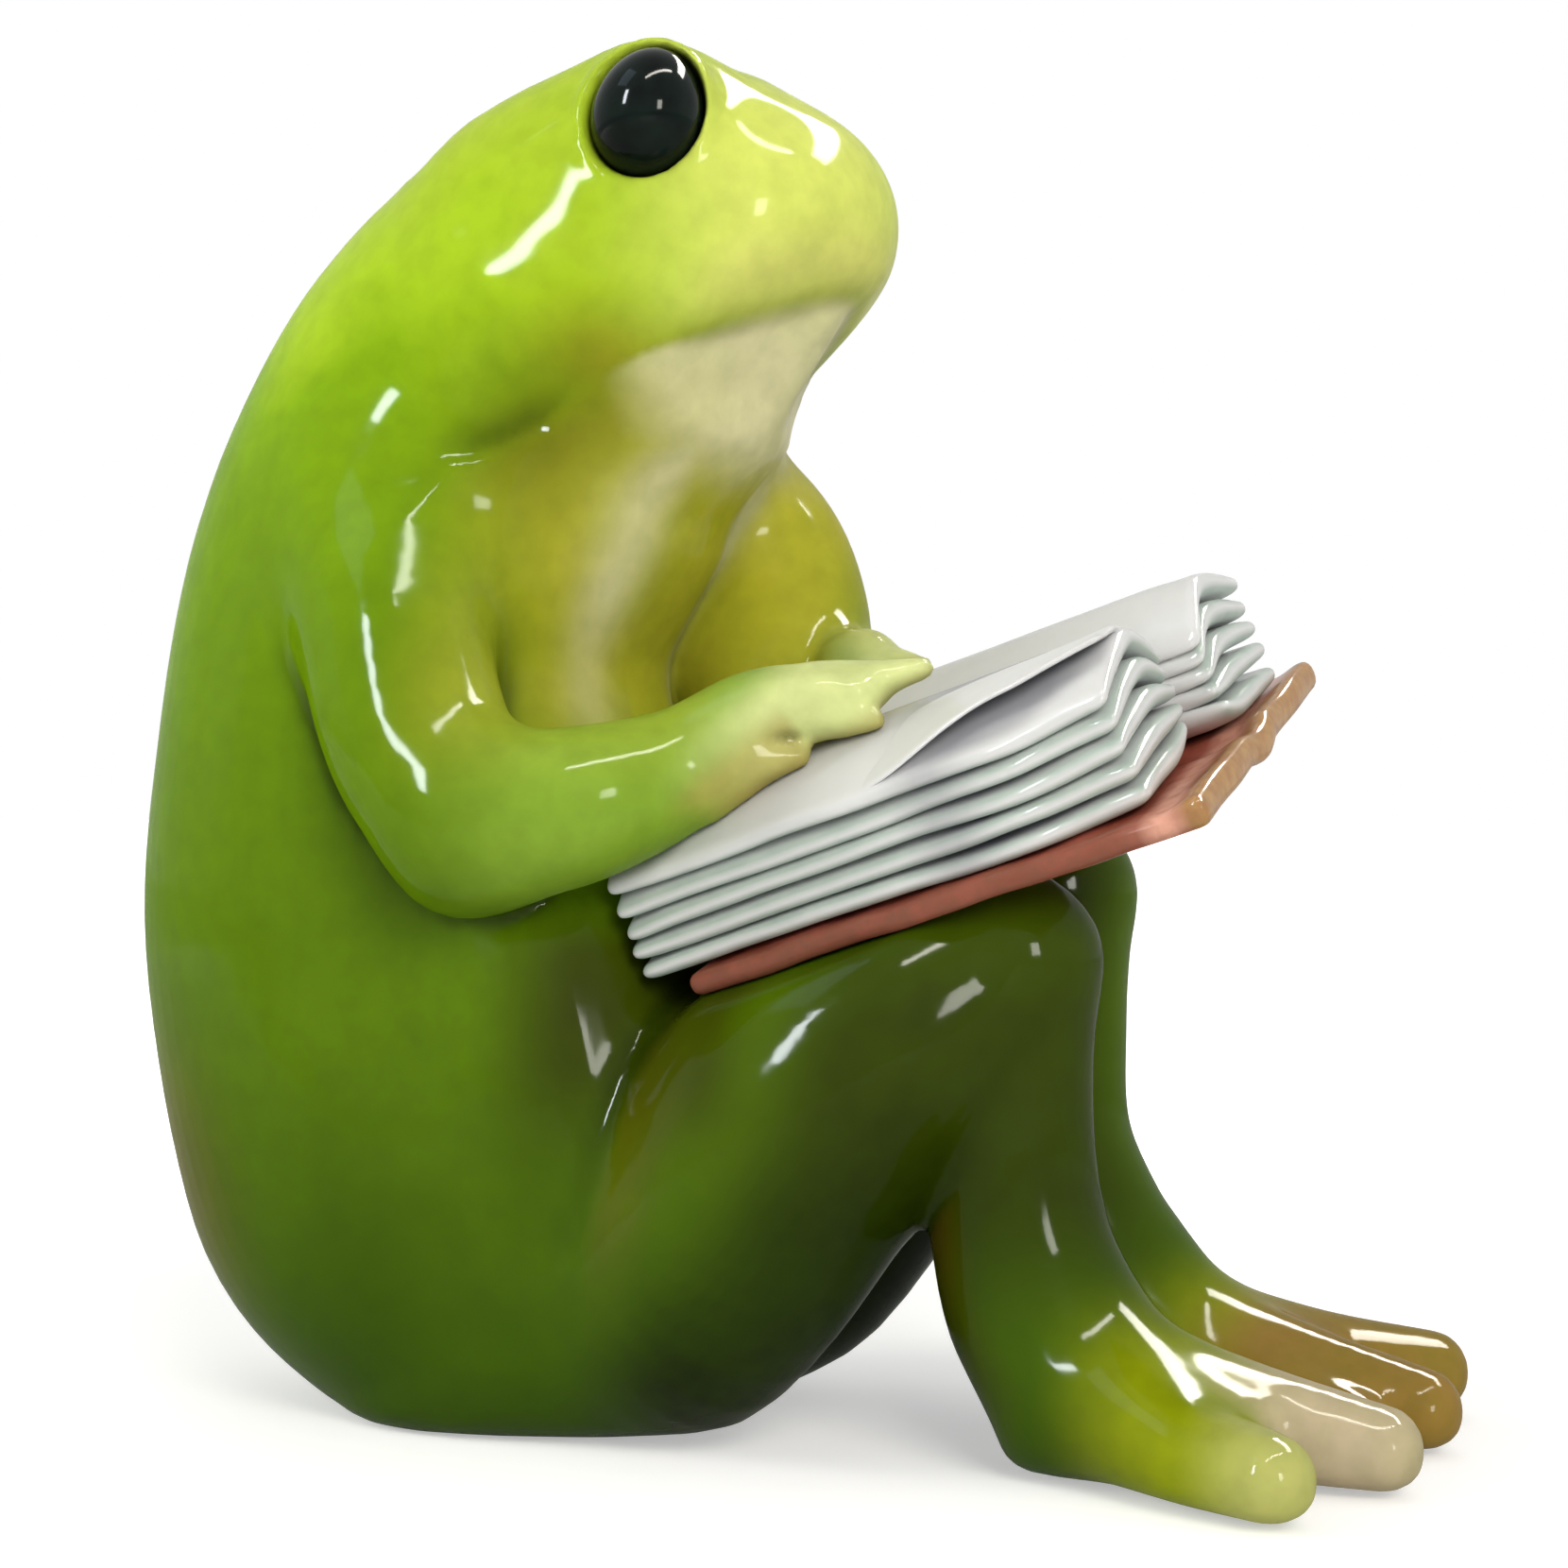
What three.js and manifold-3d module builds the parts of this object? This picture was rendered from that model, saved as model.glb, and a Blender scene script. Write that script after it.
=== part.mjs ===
// A seated resin frog reading an open book, about 60 mm tall, in millimetres.
// +X is the way the frog faces, +Y its left side and +Z up; the origin is the middle of its flat seat.
import * as THREE from 'three';
import { mergeVertices } from 'three/addons/utils/BufferGeometryUtils.js';
import Module from 'manifold-3d';

const wasm = await Module();
wasm.setup();

// Fits between the bonded pieces
const BOND_GAP = 0.3;
const PIN_RADIUS = 0.7;
const PIN_CLEARANCE = 0.15;
const PIN_END_ROOM = 0.4;
const SHOULDER_PIN_LENGTH = 4.6;
const HIP_PIN_LENGTH = 5.6;
const KNEE_PIN_LENGTH = 4.4;

// Trunk: half sizes of its sections from the seat up to the neck
const SEAT_HALF_DEPTH = 9.1;
const SEAT_SECTION_HEIGHT = 3.6;
const HAUNCH_HALF_DEPTH = 12.3;
const HAUNCH_HEIGHT = 10.5;
const BELLY_HALF_DEPTH = 12.1;
const BELLY_HALF_WIDTH = 12.4;
const BELLY_HEIGHT = 20.5;
const CHEST_HALF_DEPTH = 11.1;
const CHEST_HALF_WIDTH = 11.6;
const CHEST_HEIGHT = 37;
const NECK_HALF_DEPTH = 11.2;
const BACK_LEAN = 5.4;

// Belly: a pad that fills the lap between the thighs, up to the tail of the book
const LAP_HALF_WIDTH = 11.4;
const LAP_HALF_DEPTH = 7.6;
const LAP_FORWARD = 5.4;
const LAP_HEIGHT = 12;
const LAP_STEP = 7;
const LAP_FOOT_NARROWING = 1.9;
const LAP_TOP_NARROWING = 1.4;
const LAP_TOP_LEAN = 3.9;
const LAP_UPPER_LEAN = 1;

// Head: a blunt snout on a broad head
const HEAD_HALF_WIDTH = 10.2;
const HEAD_HALF_DEPTH = 9;
const HEAD_HEIGHT = 50.2;
const HEAD_FORWARD = 4.8;
const SNOUT_LENGTH = 7;
const SNOUT_RISE = 2.1;
const SNOUT_HALF_WIDTH = 8.4;
const SNOUT_HALF_DEPTH = 6.4;
const THROAT_HALF_WIDTH = 8.2;
const THROAT_HALF_DEPTH = 4.7;
const THROAT_DROP = 9.2;

// Eyes: gloss beads in raised brows
const EYE_SPACING = 16.8;
const EYE_HALF_LENGTH = 2.5;
const EYE_HALF_HEIGHT = 2.9;
const EYE_FORWARD_OF_HEAD = 5.4;
const EYE_ABOVE_HEAD = 6.3;
const LID_THICKNESS = 0.9;
const BROW_INSET = 2.2;
const BROW_LENGTH = 6.5;

// Arms
const SHOULDER_SINK = 1.9;
const UPPER_ARM_RADIUS = 3.9;
const ELBOW_OUT_OF_BELLY = 0.5;
const ELBOW_ABOVE_BOOK = 0.5;
const ELBOW_RADIUS = 3.7;
const FOREARM_RADIUS = 2.6;
const FOREARM_FORWARD = 8.4;
const FOREARM_ON_PAGE = 4.6;
const FOREARM_FROM_SPINE = 7.8;
const WRIST_RADIUS = 1.9;
const FINGER_RADIUS = 1.1;
const RIGHT_HAND_REACH = 0.2;
const LEFT_HAND_REACH = -3.6;
const LEFT_ELBOW_BEHIND_HAND = 8.3;
const LEFT_ELBOW_FROM_SPINE = 10.2;
const LEFT_WRIST_BEHIND_HAND = 3.4;
const LEFT_WRIST_FROM_SPINE = 8.2;
const LEFT_ARM_FORWARD = 6.5;

// Legs
const HIP_SPACING = 6;
const HIP_HEIGHT = 5.6;
const HIP_FORWARD = 5;
const HIP_RADIUS = 5;
const THIGH_RADIUS = 6.6;
const KNEE_RADIUS = 3.9;
const KNEE_FLAT = 0.5;
const KNEE_SPACING = 9.6;
const SHIN_RADIUS = 3.6;
const ANKLE_RADIUS = 3.8;
const ANKLE_HEIGHT = 6.6;
const FOOT_LENGTH = 8.8;
const FOOT_HALF_WIDTH = 4.2;
const FOOT_HALF_DEPTH = 3.4;
const TOE_RADIUS = 1.85;
const INNER_TOE_RADIUS = 1.45;
const MIDDLE_TOE_REACH = 14;
const OUTER_TOE_REACH = 11.2;
const LEFT_OUTER_TOE_EXTRA = 1.6;
const INNER_TOE_REACH = 11.6;
const OUTER_TOE_SPLAY = 6.6;
const INNER_TOE_SPLAY = 3;
const TOE_ARCH = 1.2;
const SOLE_FLAT = 0.1;

// Book: lies open across the knees, with its head end raised and its right side lower
const BOOK_PITCH = THREE.MathUtils.degToRad(19.6);
const BOOK_ROLL = THREE.MathUtils.degToRad(16.2);
const BOOK_TURN = THREE.MathUtils.degToRad(-5.5);
const BOOK_BELLY_ROOM = 5.1;
const BOOK_HEIGHT = 25.9;
const COVER_LENGTH = 23.9;
const COVER_HALF_WIDTH = 10.4;
const COVER_THICKNESS = 1;
const SPINE_HALF_WIDTH = 1.7;
const SPINE_BULGE = 0.6;
const PAGE_LENGTH = 24.1;
const PAGE_TAIL_OVERHANG = 2.2;
const PAGE_FORE_EDGE = 9.7;
const PAGE_GUTTER = 0.35;
const PAGE_EDGE_HEIGHT = 5.7;
const PAGE_CREST_HEIGHT = 7.6;
const PAGE_CREST_FROM_SPINE = 3.4;
const PAGE_GUTTER_HEIGHT = 4.8;
const LEAF_COUNT = 5;
const LEAF_GROOVE = 0.4;
const LIFTED_LEAF_THICKNESS = 0.6;
const LEAF_LIFT = 1.4;

const UP = new THREE.Vector3(0, 0, 1);
const TO_LEFT = new THREE.Vector3(0, 1, 0);
const RIGHT = -1;
const LEFT = 1;
const CUTTER_SIZE = 300;

// Solids from geometry, and back. A solid's faces point out, so a mesh that was made inside out is turned.
function enclosedVolume(points, triangles) {
  const corner = (k) => new THREE.Vector3().fromArray(points, 3 * triangles[k]);
  let volume = 0;
  for (let i = 0; i < triangles.length; i += 3) {
    volume += corner(i).dot(corner(i + 1).cross(corner(i + 2))) / 6;
  }
  return volume;
}

function solidOf(geometry) {
  const bare = geometry.clone();
  bare.deleteAttribute('normal');
  bare.deleteAttribute('uv');
  const merged = mergeVertices(bare, 1e-5);
  const index = merged.index.array;
  const triangles = [];
  for (let i = 0; i < index.length; i += 3) {
    const [a, b, c] = [index[i], index[i + 1], index[i + 2]];
    if (a !== b && b !== c && c !== a) triangles.push(a, b, c);
  }
  const vertProperties = new Float32Array(merged.attributes.position.array);
  if (enclosedVolume(vertProperties, triangles) < 0) triangles.reverse();
  const triVerts = new Uint32Array(triangles);
  return new wasm.Manifold(new wasm.Mesh({ numProp: 3, vertProperties, triVerts }));
}

function geometryOf(solid) {
  const mesh = solid.getMesh();
  const geometry = new THREE.BufferGeometry();
  geometry.setAttribute('position', new THREE.BufferAttribute(new Float32Array(mesh.vertProperties), 3));
  geometry.setIndex(new THREE.BufferAttribute(new Uint32Array(mesh.triVerts), 1));
  geometry.computeVertexNormals();
  return geometry;
}

function cut(solid, ...tools) {
  return tools.reduce((rest, tool) => rest.subtract(tool), solid);
}

function join(first, ...others) {
  return others.reduce((whole, other) => whole.add(other), first);
}

// A rounded form swept through sections. A section is a point with a half width, across the
// figure, and a half depth; the two ends close in domes.
function section(x, y, z, halfWidth, halfDepth = halfWidth) {
  return { at: new THREE.Vector3(x, y, z), halfWidth, halfDepth };
}

function sweptForm(sections, { sides = 12, steps = 3, startDome = 0.9, endDome = 0.9, grow = 0 } = {}) {
  const last = sections.length - 1;
  const domeRings = 3;
  const profile = [];
  for (let k = 0; k < domeRings; k++) {
    const angle = (k / domeRings) * (Math.PI / 2);
    profile.push(new THREE.Vector2(Math.sin(angle), -Math.cos(angle)));
  }
  for (let k = 0; k <= last * steps; k++) profile.push(new THREE.Vector2(1, k / steps));
  for (let k = domeRings - 1; k >= 0; k--) {
    const angle = (k / domeRings) * (Math.PI / 2);
    profile.push(new THREE.Vector2(Math.sin(angle), last + Math.cos(angle)));
  }
  const geometry = new THREE.LatheGeometry(profile, sides);
  const path = new THREE.CatmullRomCurve3(sections.map((s) => s.at));
  const sizes = new THREE.CatmullRomCurve3(
    sections.map((s) => new THREE.Vector3(s.halfWidth + grow, s.halfDepth + grow, 0)),
  );
  const position = geometry.attributes.position;
  for (let i = 0; i < position.count; i++) {
    const along = position.getY(i);
    const held = THREE.MathUtils.clamp(along, 0, last);
    const t = held / last;
    const tangent = path.getTangent(t);
    const across = TO_LEFT.clone().addScaledVector(tangent, -TO_LEFT.dot(tangent)).normalize();
    const deep = tangent.clone().cross(across);
    const size = sizes.getPoint(t);
    const dome = along < 0 ? startDome : endDome;
    const reach = (along - held) * dome * Math.min(size.x, size.y);
    const point = path.getPoint(t)
      .addScaledVector(across, position.getX(i) * size.x)
      .addScaledVector(deep, position.getZ(i) * size.y)
      .addScaledVector(tangent, reach);
    position.setXYZ(i, point.x, point.y, point.z);
  }
  return solidOf(geometry);
}

function bead(centre, halfX, halfY, halfZ) {
  const geometry = new THREE.SphereGeometry(1, 16, 10);
  geometry.scale(halfX, halfY, halfZ);
  geometry.translate(centre.x, centre.y, centre.z);
  return geometry;
}

const underFloor = new THREE.BoxGeometry(CUTTER_SIZE, CUTTER_SIZE, CUTTER_SIZE);
underFloor.translate(0, 0, -CUTTER_SIZE / 2);
const belowFloor = solidOf(underFloor);

// Wire pins and the holes that take them
function pinGeometry(length, grow = 0, endRoom = 0) {
  const radius = PIN_RADIUS + grow;
  return new THREE.CylinderGeometry(radius, radius, length + 2 * endRoom, 12);
}

function pinPlace(middle, direction) {
  const turn = new THREE.Quaternion().setFromUnitVectors(TO_LEFT, direction.clone().normalize());
  return new THREE.Matrix4().compose(middle, turn, new THREE.Vector3(1, 1, 1));
}

function pinHole(place, length) {
  return solidOf(pinGeometry(length, PIN_CLEARANCE, PIN_END_ROOM).applyMatrix4(place));
}

// Trunk and head: the trunk stands on the seat, the head leans forward out of the neck
const bellyFront = -BACK_LEAN + BELLY_HALF_DEPTH;
const neckHeight = (CHEST_HEIGHT + HEAD_HEIGHT) / 2 + 0.4;
const trunkSections = [
  section(0.5, 0, SEAT_SECTION_HEIGHT, SEAT_HALF_DEPTH + 0.6, SEAT_HALF_DEPTH),
  section(-2.6, 0, HAUNCH_HEIGHT, BELLY_HALF_WIDTH, HAUNCH_HALF_DEPTH),
  section(-BACK_LEAN, 0, BELLY_HEIGHT, BELLY_HALF_WIDTH, BELLY_HALF_DEPTH),
  section(-BACK_LEAN, 0, (BELLY_HEIGHT + CHEST_HEIGHT) / 2, BELLY_HALF_WIDTH - 0.3, BELLY_HALF_DEPTH - 0.5),
  section(-BACK_LEAN + 1.2, 0, CHEST_HEIGHT, CHEST_HALF_WIDTH, CHEST_HALF_DEPTH),
  section(-BACK_LEAN + 4.9, 0, neckHeight, CHEST_HALF_WIDTH - 0.7, NECK_HALF_DEPTH),
  section(HEAD_FORWARD - 1.8, 0, HEAD_HEIGHT - 1.8, HEAD_HALF_WIDTH, HEAD_HALF_DEPTH + 1.1),
];
const bellySections = [
  section(
    LAP_FORWARD - 0.9,
    0,
    LAP_HEIGHT - LAP_STEP,
    LAP_HALF_WIDTH - LAP_FOOT_NARROWING,
    LAP_HALF_DEPTH - 0.1,
  ),
  section(LAP_FORWARD, 0, LAP_HEIGHT, LAP_HALF_WIDTH, LAP_HALF_DEPTH),
  section(LAP_FORWARD - LAP_UPPER_LEAN, 0, LAP_HEIGHT + LAP_STEP, LAP_HALF_WIDTH, LAP_HALF_DEPTH - 0.6),
  section(
    LAP_FORWARD - LAP_TOP_LEAN,
    0,
    LAP_HEIGHT + LAP_STEP * 2,
    LAP_HALF_WIDTH - LAP_TOP_NARROWING,
    LAP_HALF_DEPTH - 1.1,
  ),
];
const headSections = [
  section(HEAD_FORWARD - 4, 0, HEAD_HEIGHT - 2.4, HEAD_HALF_WIDTH - 1.2, HEAD_HALF_DEPTH - 1.4),
  section(HEAD_FORWARD, 0, HEAD_HEIGHT, HEAD_HALF_WIDTH, HEAD_HALF_DEPTH),
  section(
    HEAD_FORWARD + SNOUT_LENGTH * 0.54,
    0,
    HEAD_HEIGHT + SNOUT_RISE + 0.3,
    HEAD_HALF_WIDTH - 0.4,
    HEAD_HALF_DEPTH - 1.3,
  ),
  section(HEAD_FORWARD + SNOUT_LENGTH, 0, HEAD_HEIGHT + SNOUT_RISE, SNOUT_HALF_WIDTH, SNOUT_HALF_DEPTH),
];
const throatSections = [
  section(HEAD_FORWARD + 6.6, 0, HEAD_HEIGHT + 0.8, THROAT_HALF_WIDTH - 2.4, THROAT_HALF_DEPTH - 0.1),
  section(HEAD_FORWARD + 4.4, 0, HEAD_HEIGHT - 2.2, THROAT_HALF_WIDTH - 1, THROAT_HALF_DEPTH),
  section(HEAD_FORWARD + 2.2, 0, HEAD_HEIGHT - 5, THROAT_HALF_WIDTH, THROAT_HALF_DEPTH),
  section(HEAD_FORWARD - 0.4, 0, HEAD_HEIGHT - THROAT_DROP, THROAT_HALF_WIDTH + 0.2, THROAT_HALF_DEPTH),
];

function eyeCentre(side) {
  return new THREE.Vector3(
    HEAD_FORWARD + EYE_FORWARD_OF_HEAD,
    (side * EYE_SPACING) / 2,
    HEAD_HEIGHT + EYE_ABOVE_HEAD,
  );
}

function eyeGeometry(side, grow = 0) {
  const halfLength = EYE_HALF_LENGTH + grow;
  return bead(eyeCentre(side), halfLength, halfLength, EYE_HALF_HEIGHT + grow);
}

// A brow is a ridge that runs back from the eye into the crown
function browForm(side, grow) {
  const front = eyeCentre(side).add(new THREE.Vector3(-1.2, -side * BROW_INSET, -0.1));
  const back = front.clone().add(new THREE.Vector3(-BROW_LENGTH, -side * 1.6, -3));
  const radius = EYE_HALF_HEIGHT + LID_THICKNESS;
  return sweptForm([
    section(back.x, back.y, back.z, radius),
    section(front.x, front.y, front.z, radius),
  ], { sides: 14, steps: 4, startDome: 1, endDome: 1, grow });
}

function bodyForm(grow) {
  const trunk = sweptForm(trunkSections, { sides: 24, startDome: 0.75, endDome: 0.5, grow });
  const belly = sweptForm(bellySections, { sides: 20, grow });
  const head = sweptForm(headSections, { sides: 24, startDome: 0.7, endDome: 0.9, grow });
  const throat = sweptForm(throatSections, { sides: 18, grow });
  return join(trunk, belly, head, throat, ...[RIGHT, LEFT].map((side) => browForm(side, grow)));
}

const bodyClearance = bodyForm(BOND_GAP);

// Book: a group of its own, with its long side along X, its halves along Y and its leaves up Z.
// Its origin is on the underside of the cover, in the middle of the spine.
const book = new THREE.Group();
book.rotation.set(BOOK_ROLL, -BOOK_PITCH, BOOK_TURN, 'YXZ');
book.position.set(bellyFront + BOOK_BELLY_ROOM + COVER_LENGTH / 2, 0, BOOK_HEIGHT);
book.updateMatrixWorld(true);
const coverNormal = UP.clone().transformDirection(book.matrixWorld);
const pageTail = -COVER_LENGTH / 2 - PAGE_TAIL_OVERHANG;
const pageHead = pageTail + PAGE_LENGTH;
const pageBottom = COVER_THICKNESS + BOND_GAP;
const leafTail = RIGHT_HAND_REACH + 2 * FINGER_RADIUS + BOND_GAP;
const leafLength = pageHead - leafTail;

function pageTop(fromSpine) {
  const across = Math.abs(fromSpine);
  if (across < PAGE_CREST_FROM_SPINE) {
    const share = (PAGE_CREST_FROM_SPINE - across) / PAGE_CREST_FROM_SPINE;
    return PAGE_CREST_HEIGHT - (PAGE_CREST_HEIGHT - PAGE_GUTTER_HEIGHT) * share ** 2;
  }
  const share = (across - PAGE_CREST_FROM_SPINE) / (PAGE_FORE_EDGE - PAGE_CREST_FROM_SPINE);
  return PAGE_CREST_HEIGHT - (PAGE_CREST_HEIGHT - PAGE_EDGE_HEIGHT) * share ** 1.5;
}

function alongBook(outline, length, start) {
  const settings = { depth: length, bevelEnabled: false, curveSegments: 6 };
  const geometry = new THREE.ExtrudeGeometry(outline, settings);
  // The outline's own axes become the book's width and height, and its depth the book's length
  geometry.applyMatrix4(new THREE.Matrix4().makeBasis(TO_LEFT, UP, new THREE.Vector3(1, 0, 0)));
  geometry.translate(start, 0, 0);
  return geometry;
}

function coverOutline() {
  const outline = new THREE.Shape();
  outline.moveTo(-COVER_HALF_WIDTH, 0);
  outline.lineTo(-SPINE_HALF_WIDTH, 0);
  outline.quadraticCurveTo(0, -SPINE_BULGE, SPINE_HALF_WIDTH, 0);
  outline.lineTo(COVER_HALF_WIDTH, 0);
  outline.lineTo(COVER_HALF_WIDTH, COVER_THICKNESS);
  outline.lineTo(SPINE_HALF_WIDTH, COVER_THICKNESS);
  outline.quadraticCurveTo(0, COVER_THICKNESS - SPINE_BULGE, -SPINE_HALF_WIDTH, COVER_THICKNESS);
  outline.lineTo(-COVER_HALF_WIDTH, COVER_THICKNESS);
  outline.closePath();
  return outline;
}

function pageOutline(side) {
  const outline = new THREE.Shape();
  outline.moveTo(side * PAGE_GUTTER, pageBottom);
  outline.lineTo(side * (PAGE_FORE_EDGE - LEAF_GROOVE), pageBottom);
  const leaf = (PAGE_EDGE_HEIGHT - pageBottom) / LEAF_COUNT;
  for (let k = 0; k < LEAF_COUNT; k++) {
    const low = pageBottom + k * leaf;
    outline.lineTo(side * PAGE_FORE_EDGE, low + leaf * 0.3);
    outline.lineTo(side * PAGE_FORE_EDGE, low + leaf * 0.7);
    if (k < LEAF_COUNT - 1) outline.lineTo(side * (PAGE_FORE_EDGE - LEAF_GROOVE), low + leaf);
  }
  const slices = 12;
  for (let k = 0; k <= slices; k++) {
    const across = THREE.MathUtils.lerp(PAGE_FORE_EDGE - LEAF_GROOVE, PAGE_GUTTER, k / slices);
    outline.lineTo(side * across, pageTop(across));
  }
  outline.closePath();
  return outline;
}

function pageGeometry(side) {
  return alongBook(pageOutline(side), PAGE_LENGTH, pageTail);
}

// The lifted leaf lies on the right pages at its tail end and waves up towards its head end
function liftedLeafGeometry() {
  const inner = PAGE_CREST_FROM_SPINE;
  const width = PAGE_FORE_EDGE - LEAF_GROOVE - inner;
  const geometry = new THREE.BoxGeometry(leafLength, width, LIFTED_LEAF_THICKNESS, 10, 6, 1);
  const position = geometry.attributes.position;
  for (let i = 0; i < position.count; i++) {
    const along = position.getX(i) / leafLength + 0.5;
    const fromSpine = inner + width / 2 - position.getY(i);
    const outward = (fromSpine - inner) / width;
    const wave = Math.sin(Math.PI * along ** 1.4 * 0.8);
    const lift = LEAF_LIFT * wave * (0.25 + 0.75 * outward);
    const rest = pageTop(fromSpine) + BOND_GAP + LIFTED_LEAF_THICKNESS / 2;
    position.setXYZ(
      i,
      pageHead - leafLength / 2 + position.getX(i),
      -fromSpine,
      rest + lift + position.getZ(i),
    );
  }
  return geometryOf(solidOf(geometry));
}

function inWorld(geometry) {
  return geometry.clone().applyMatrix4(book.matrixWorld);
}

function onPage(along, across, above) {
  const height = pageTop(across) + BOND_GAP + above;
  return new THREE.Vector3(along, across, height).applyMatrix4(book.matrixWorld);
}

const coverClearanceBox = new THREE.BoxGeometry(
  COVER_LENGTH + PAGE_TAIL_OVERHANG + 2 * BOND_GAP,
  2 * COVER_HALF_WIDTH + 2 * BOND_GAP,
  PAGE_CREST_HEIGHT + SPINE_BULGE,
);
coverClearanceBox.translate(
  -PAGE_TAIL_OVERHANG / 2,
  0,
  (PAGE_CREST_HEIGHT + SPINE_BULGE) / 2 - BOND_GAP,
);
const spineClearance = new THREE.CylinderGeometry(
  SPINE_BULGE + BOND_GAP, SPINE_BULGE + BOND_GAP, COVER_LENGTH + PAGE_TAIL_OVERHANG, 12,
);
spineClearance.rotateZ(Math.PI / 2);
const bookClearance = join(solidOf(inWorld(coverClearanceBox)), solidOf(inWorld(spineClearance)));
const pageClearance = [RIGHT, LEFT].map((side) => join(
  solidOf(inWorld(pageGeometry(side).translate(0, 0, BOND_GAP))),
  solidOf(inWorld(pageGeometry(side).translate(-BOND_GAP, side * BOND_GAP, 0))),
));

// Arms: an upper arm and a forearm that meet in the elbow, and three fingers on the page
function fingerForm(from, along, across) {
  const tip = onPage(along, across, FINGER_RADIUS);
  const knuckle = from.clone().lerp(tip, 0.5).addScaledVector(coverNormal, FINGER_RADIUS * 0.7);
  const spots = [from, knuckle, tip];
  const widths = [FINGER_RADIUS * 1.5, FINGER_RADIUS * 1.2, FINGER_RADIUS];
  return sweptForm(spots.map((p, k) => section(p.x, p.y, p.z, widths[k])), { sides: 8 });
}

function armForm(upperArm, elbowToWrist, wrist, fingers) {
  const upper = sweptForm(upperArm);
  const wristSection = section(wrist.x, wrist.y, wrist.z, WRIST_RADIUS);
  const forearm = sweptForm([...elbowToWrist, wristSection]);
  const hand = fingers.map(([along, across]) => fingerForm(wrist, along, across));
  return join(upper, forearm, ...hand);
}

// The shoulders hang on the chest, the right elbow lies beside the belly, and the wrists on the pages
const shoulderOut = CHEST_HALF_WIDTH - SHOULDER_SINK;
const shoulderHeight = CHEST_HEIGHT + 2.2;
const elbowOut = BELLY_HALF_WIDTH + ELBOW_OUT_OF_BELLY;
const elbowHeight = BOOK_HEIGHT + ELBOW_ABOVE_BOOK;
const upperArmDrop = shoulderHeight - elbowHeight;
const overTail = onPage(pageTail + FOREARM_ON_PAGE, -FOREARM_FROM_SPINE, FOREARM_RADIUS - 0.3);
const rightArmForm = armForm(
  [
    section(-2.6, -shoulderOut + 2.2, shoulderHeight + 0.6, UPPER_ARM_RADIUS),
    section(-0.4, -shoulderOut - 1.4, elbowHeight + upperArmDrop * 0.6, UPPER_ARM_RADIUS + 0.1),
    section(1.7, -elbowOut + 0.4, elbowHeight + upperArmDrop * 0.24, UPPER_ARM_RADIUS),
    section(4.4, -elbowOut, elbowHeight, ELBOW_RADIUS),
  ],
  [
    section(3.8, -elbowOut, elbowHeight + 0.3, ELBOW_RADIUS),
    section(FOREARM_FORWARD, -elbowOut + 0.9, elbowHeight + 0.9, FOREARM_RADIUS + 0.7),
    section(overTail.x, overTail.y, overTail.z, FOREARM_RADIUS),
  ],
  onPage(RIGHT_HAND_REACH - 4.4, -4.8, WRIST_RADIUS),
  [[RIGHT_HAND_REACH - 0.4, -3.4], [RIGHT_HAND_REACH - 1.9, -5.6], [RIGHT_HAND_REACH - 5.2, -6.8]],
);
const leftElbow = onPage(
  LEFT_HAND_REACH - LEFT_ELBOW_BEHIND_HAND,
  LEFT_ELBOW_FROM_SPINE,
  ELBOW_RADIUS - 0.7,
);
const leftWrist = onPage(
  LEFT_HAND_REACH - LEFT_WRIST_BEHIND_HAND,
  LEFT_WRIST_FROM_SPINE,
  WRIST_RADIUS - 0.1,
);
const leftArmHeight = (shoulderHeight + leftElbow.z) / 2;
const leftArmForm = armForm(
  [
    section(LEFT_ARM_FORWARD - 3.8, shoulderOut - 2.9, shoulderHeight + 4.4, UPPER_ARM_RADIUS),
    section(
      LEFT_ARM_FORWARD - 1.6,
      shoulderOut - 0.5,
      shoulderHeight + 1,
      UPPER_ARM_RADIUS + 0.4,
      UPPER_ARM_RADIUS + 1.5,
    ),
    section(
      LEFT_ARM_FORWARD,
      shoulderOut + 0.4,
      leftArmHeight - 0.6,
      UPPER_ARM_RADIUS + 0.6,
      UPPER_ARM_RADIUS + 2.4,
    ),
    section(leftElbow.x, leftElbow.y, leftElbow.z, ELBOW_RADIUS + 0.3),
  ],
  [section(leftElbow.x, leftElbow.y, leftElbow.z, ELBOW_RADIUS + 0.1)],
  leftWrist,
  [[LEFT_HAND_REACH, 6.4], [LEFT_HAND_REACH - 1.6, 5], [LEFT_HAND_REACH - 3.8, 5.2]],
);

// Legs: a thigh and a shin that meet in the knee under the cover, and a foot with three toes
function kneeCentre(side) {
  const x = book.position.x + (side === RIGHT ? 1.1 : 0.3);
  const y = (side * KNEE_SPACING) / 2;
  const level = (x - book.position.x) * coverNormal.x + (y - book.position.y) * coverNormal.y;
  return new THREE.Vector3(x, y, book.position.z - (KNEE_RADIUS - KNEE_FLAT + level) / coverNormal.z);
}

function toeForm(root, tip, radius) {
  const middle = root.clone().lerp(tip, 0.55).setZ(tip.z + TOE_ARCH);
  return sweptForm([
    section(root.x, root.y, root.z, TOE_RADIUS + 0.5),
    section(middle.x, middle.y, middle.z, radius * 1.1, radius),
    section(tip.x, tip.y, tip.z, radius),
  ], { sides: 9 });
}

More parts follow.
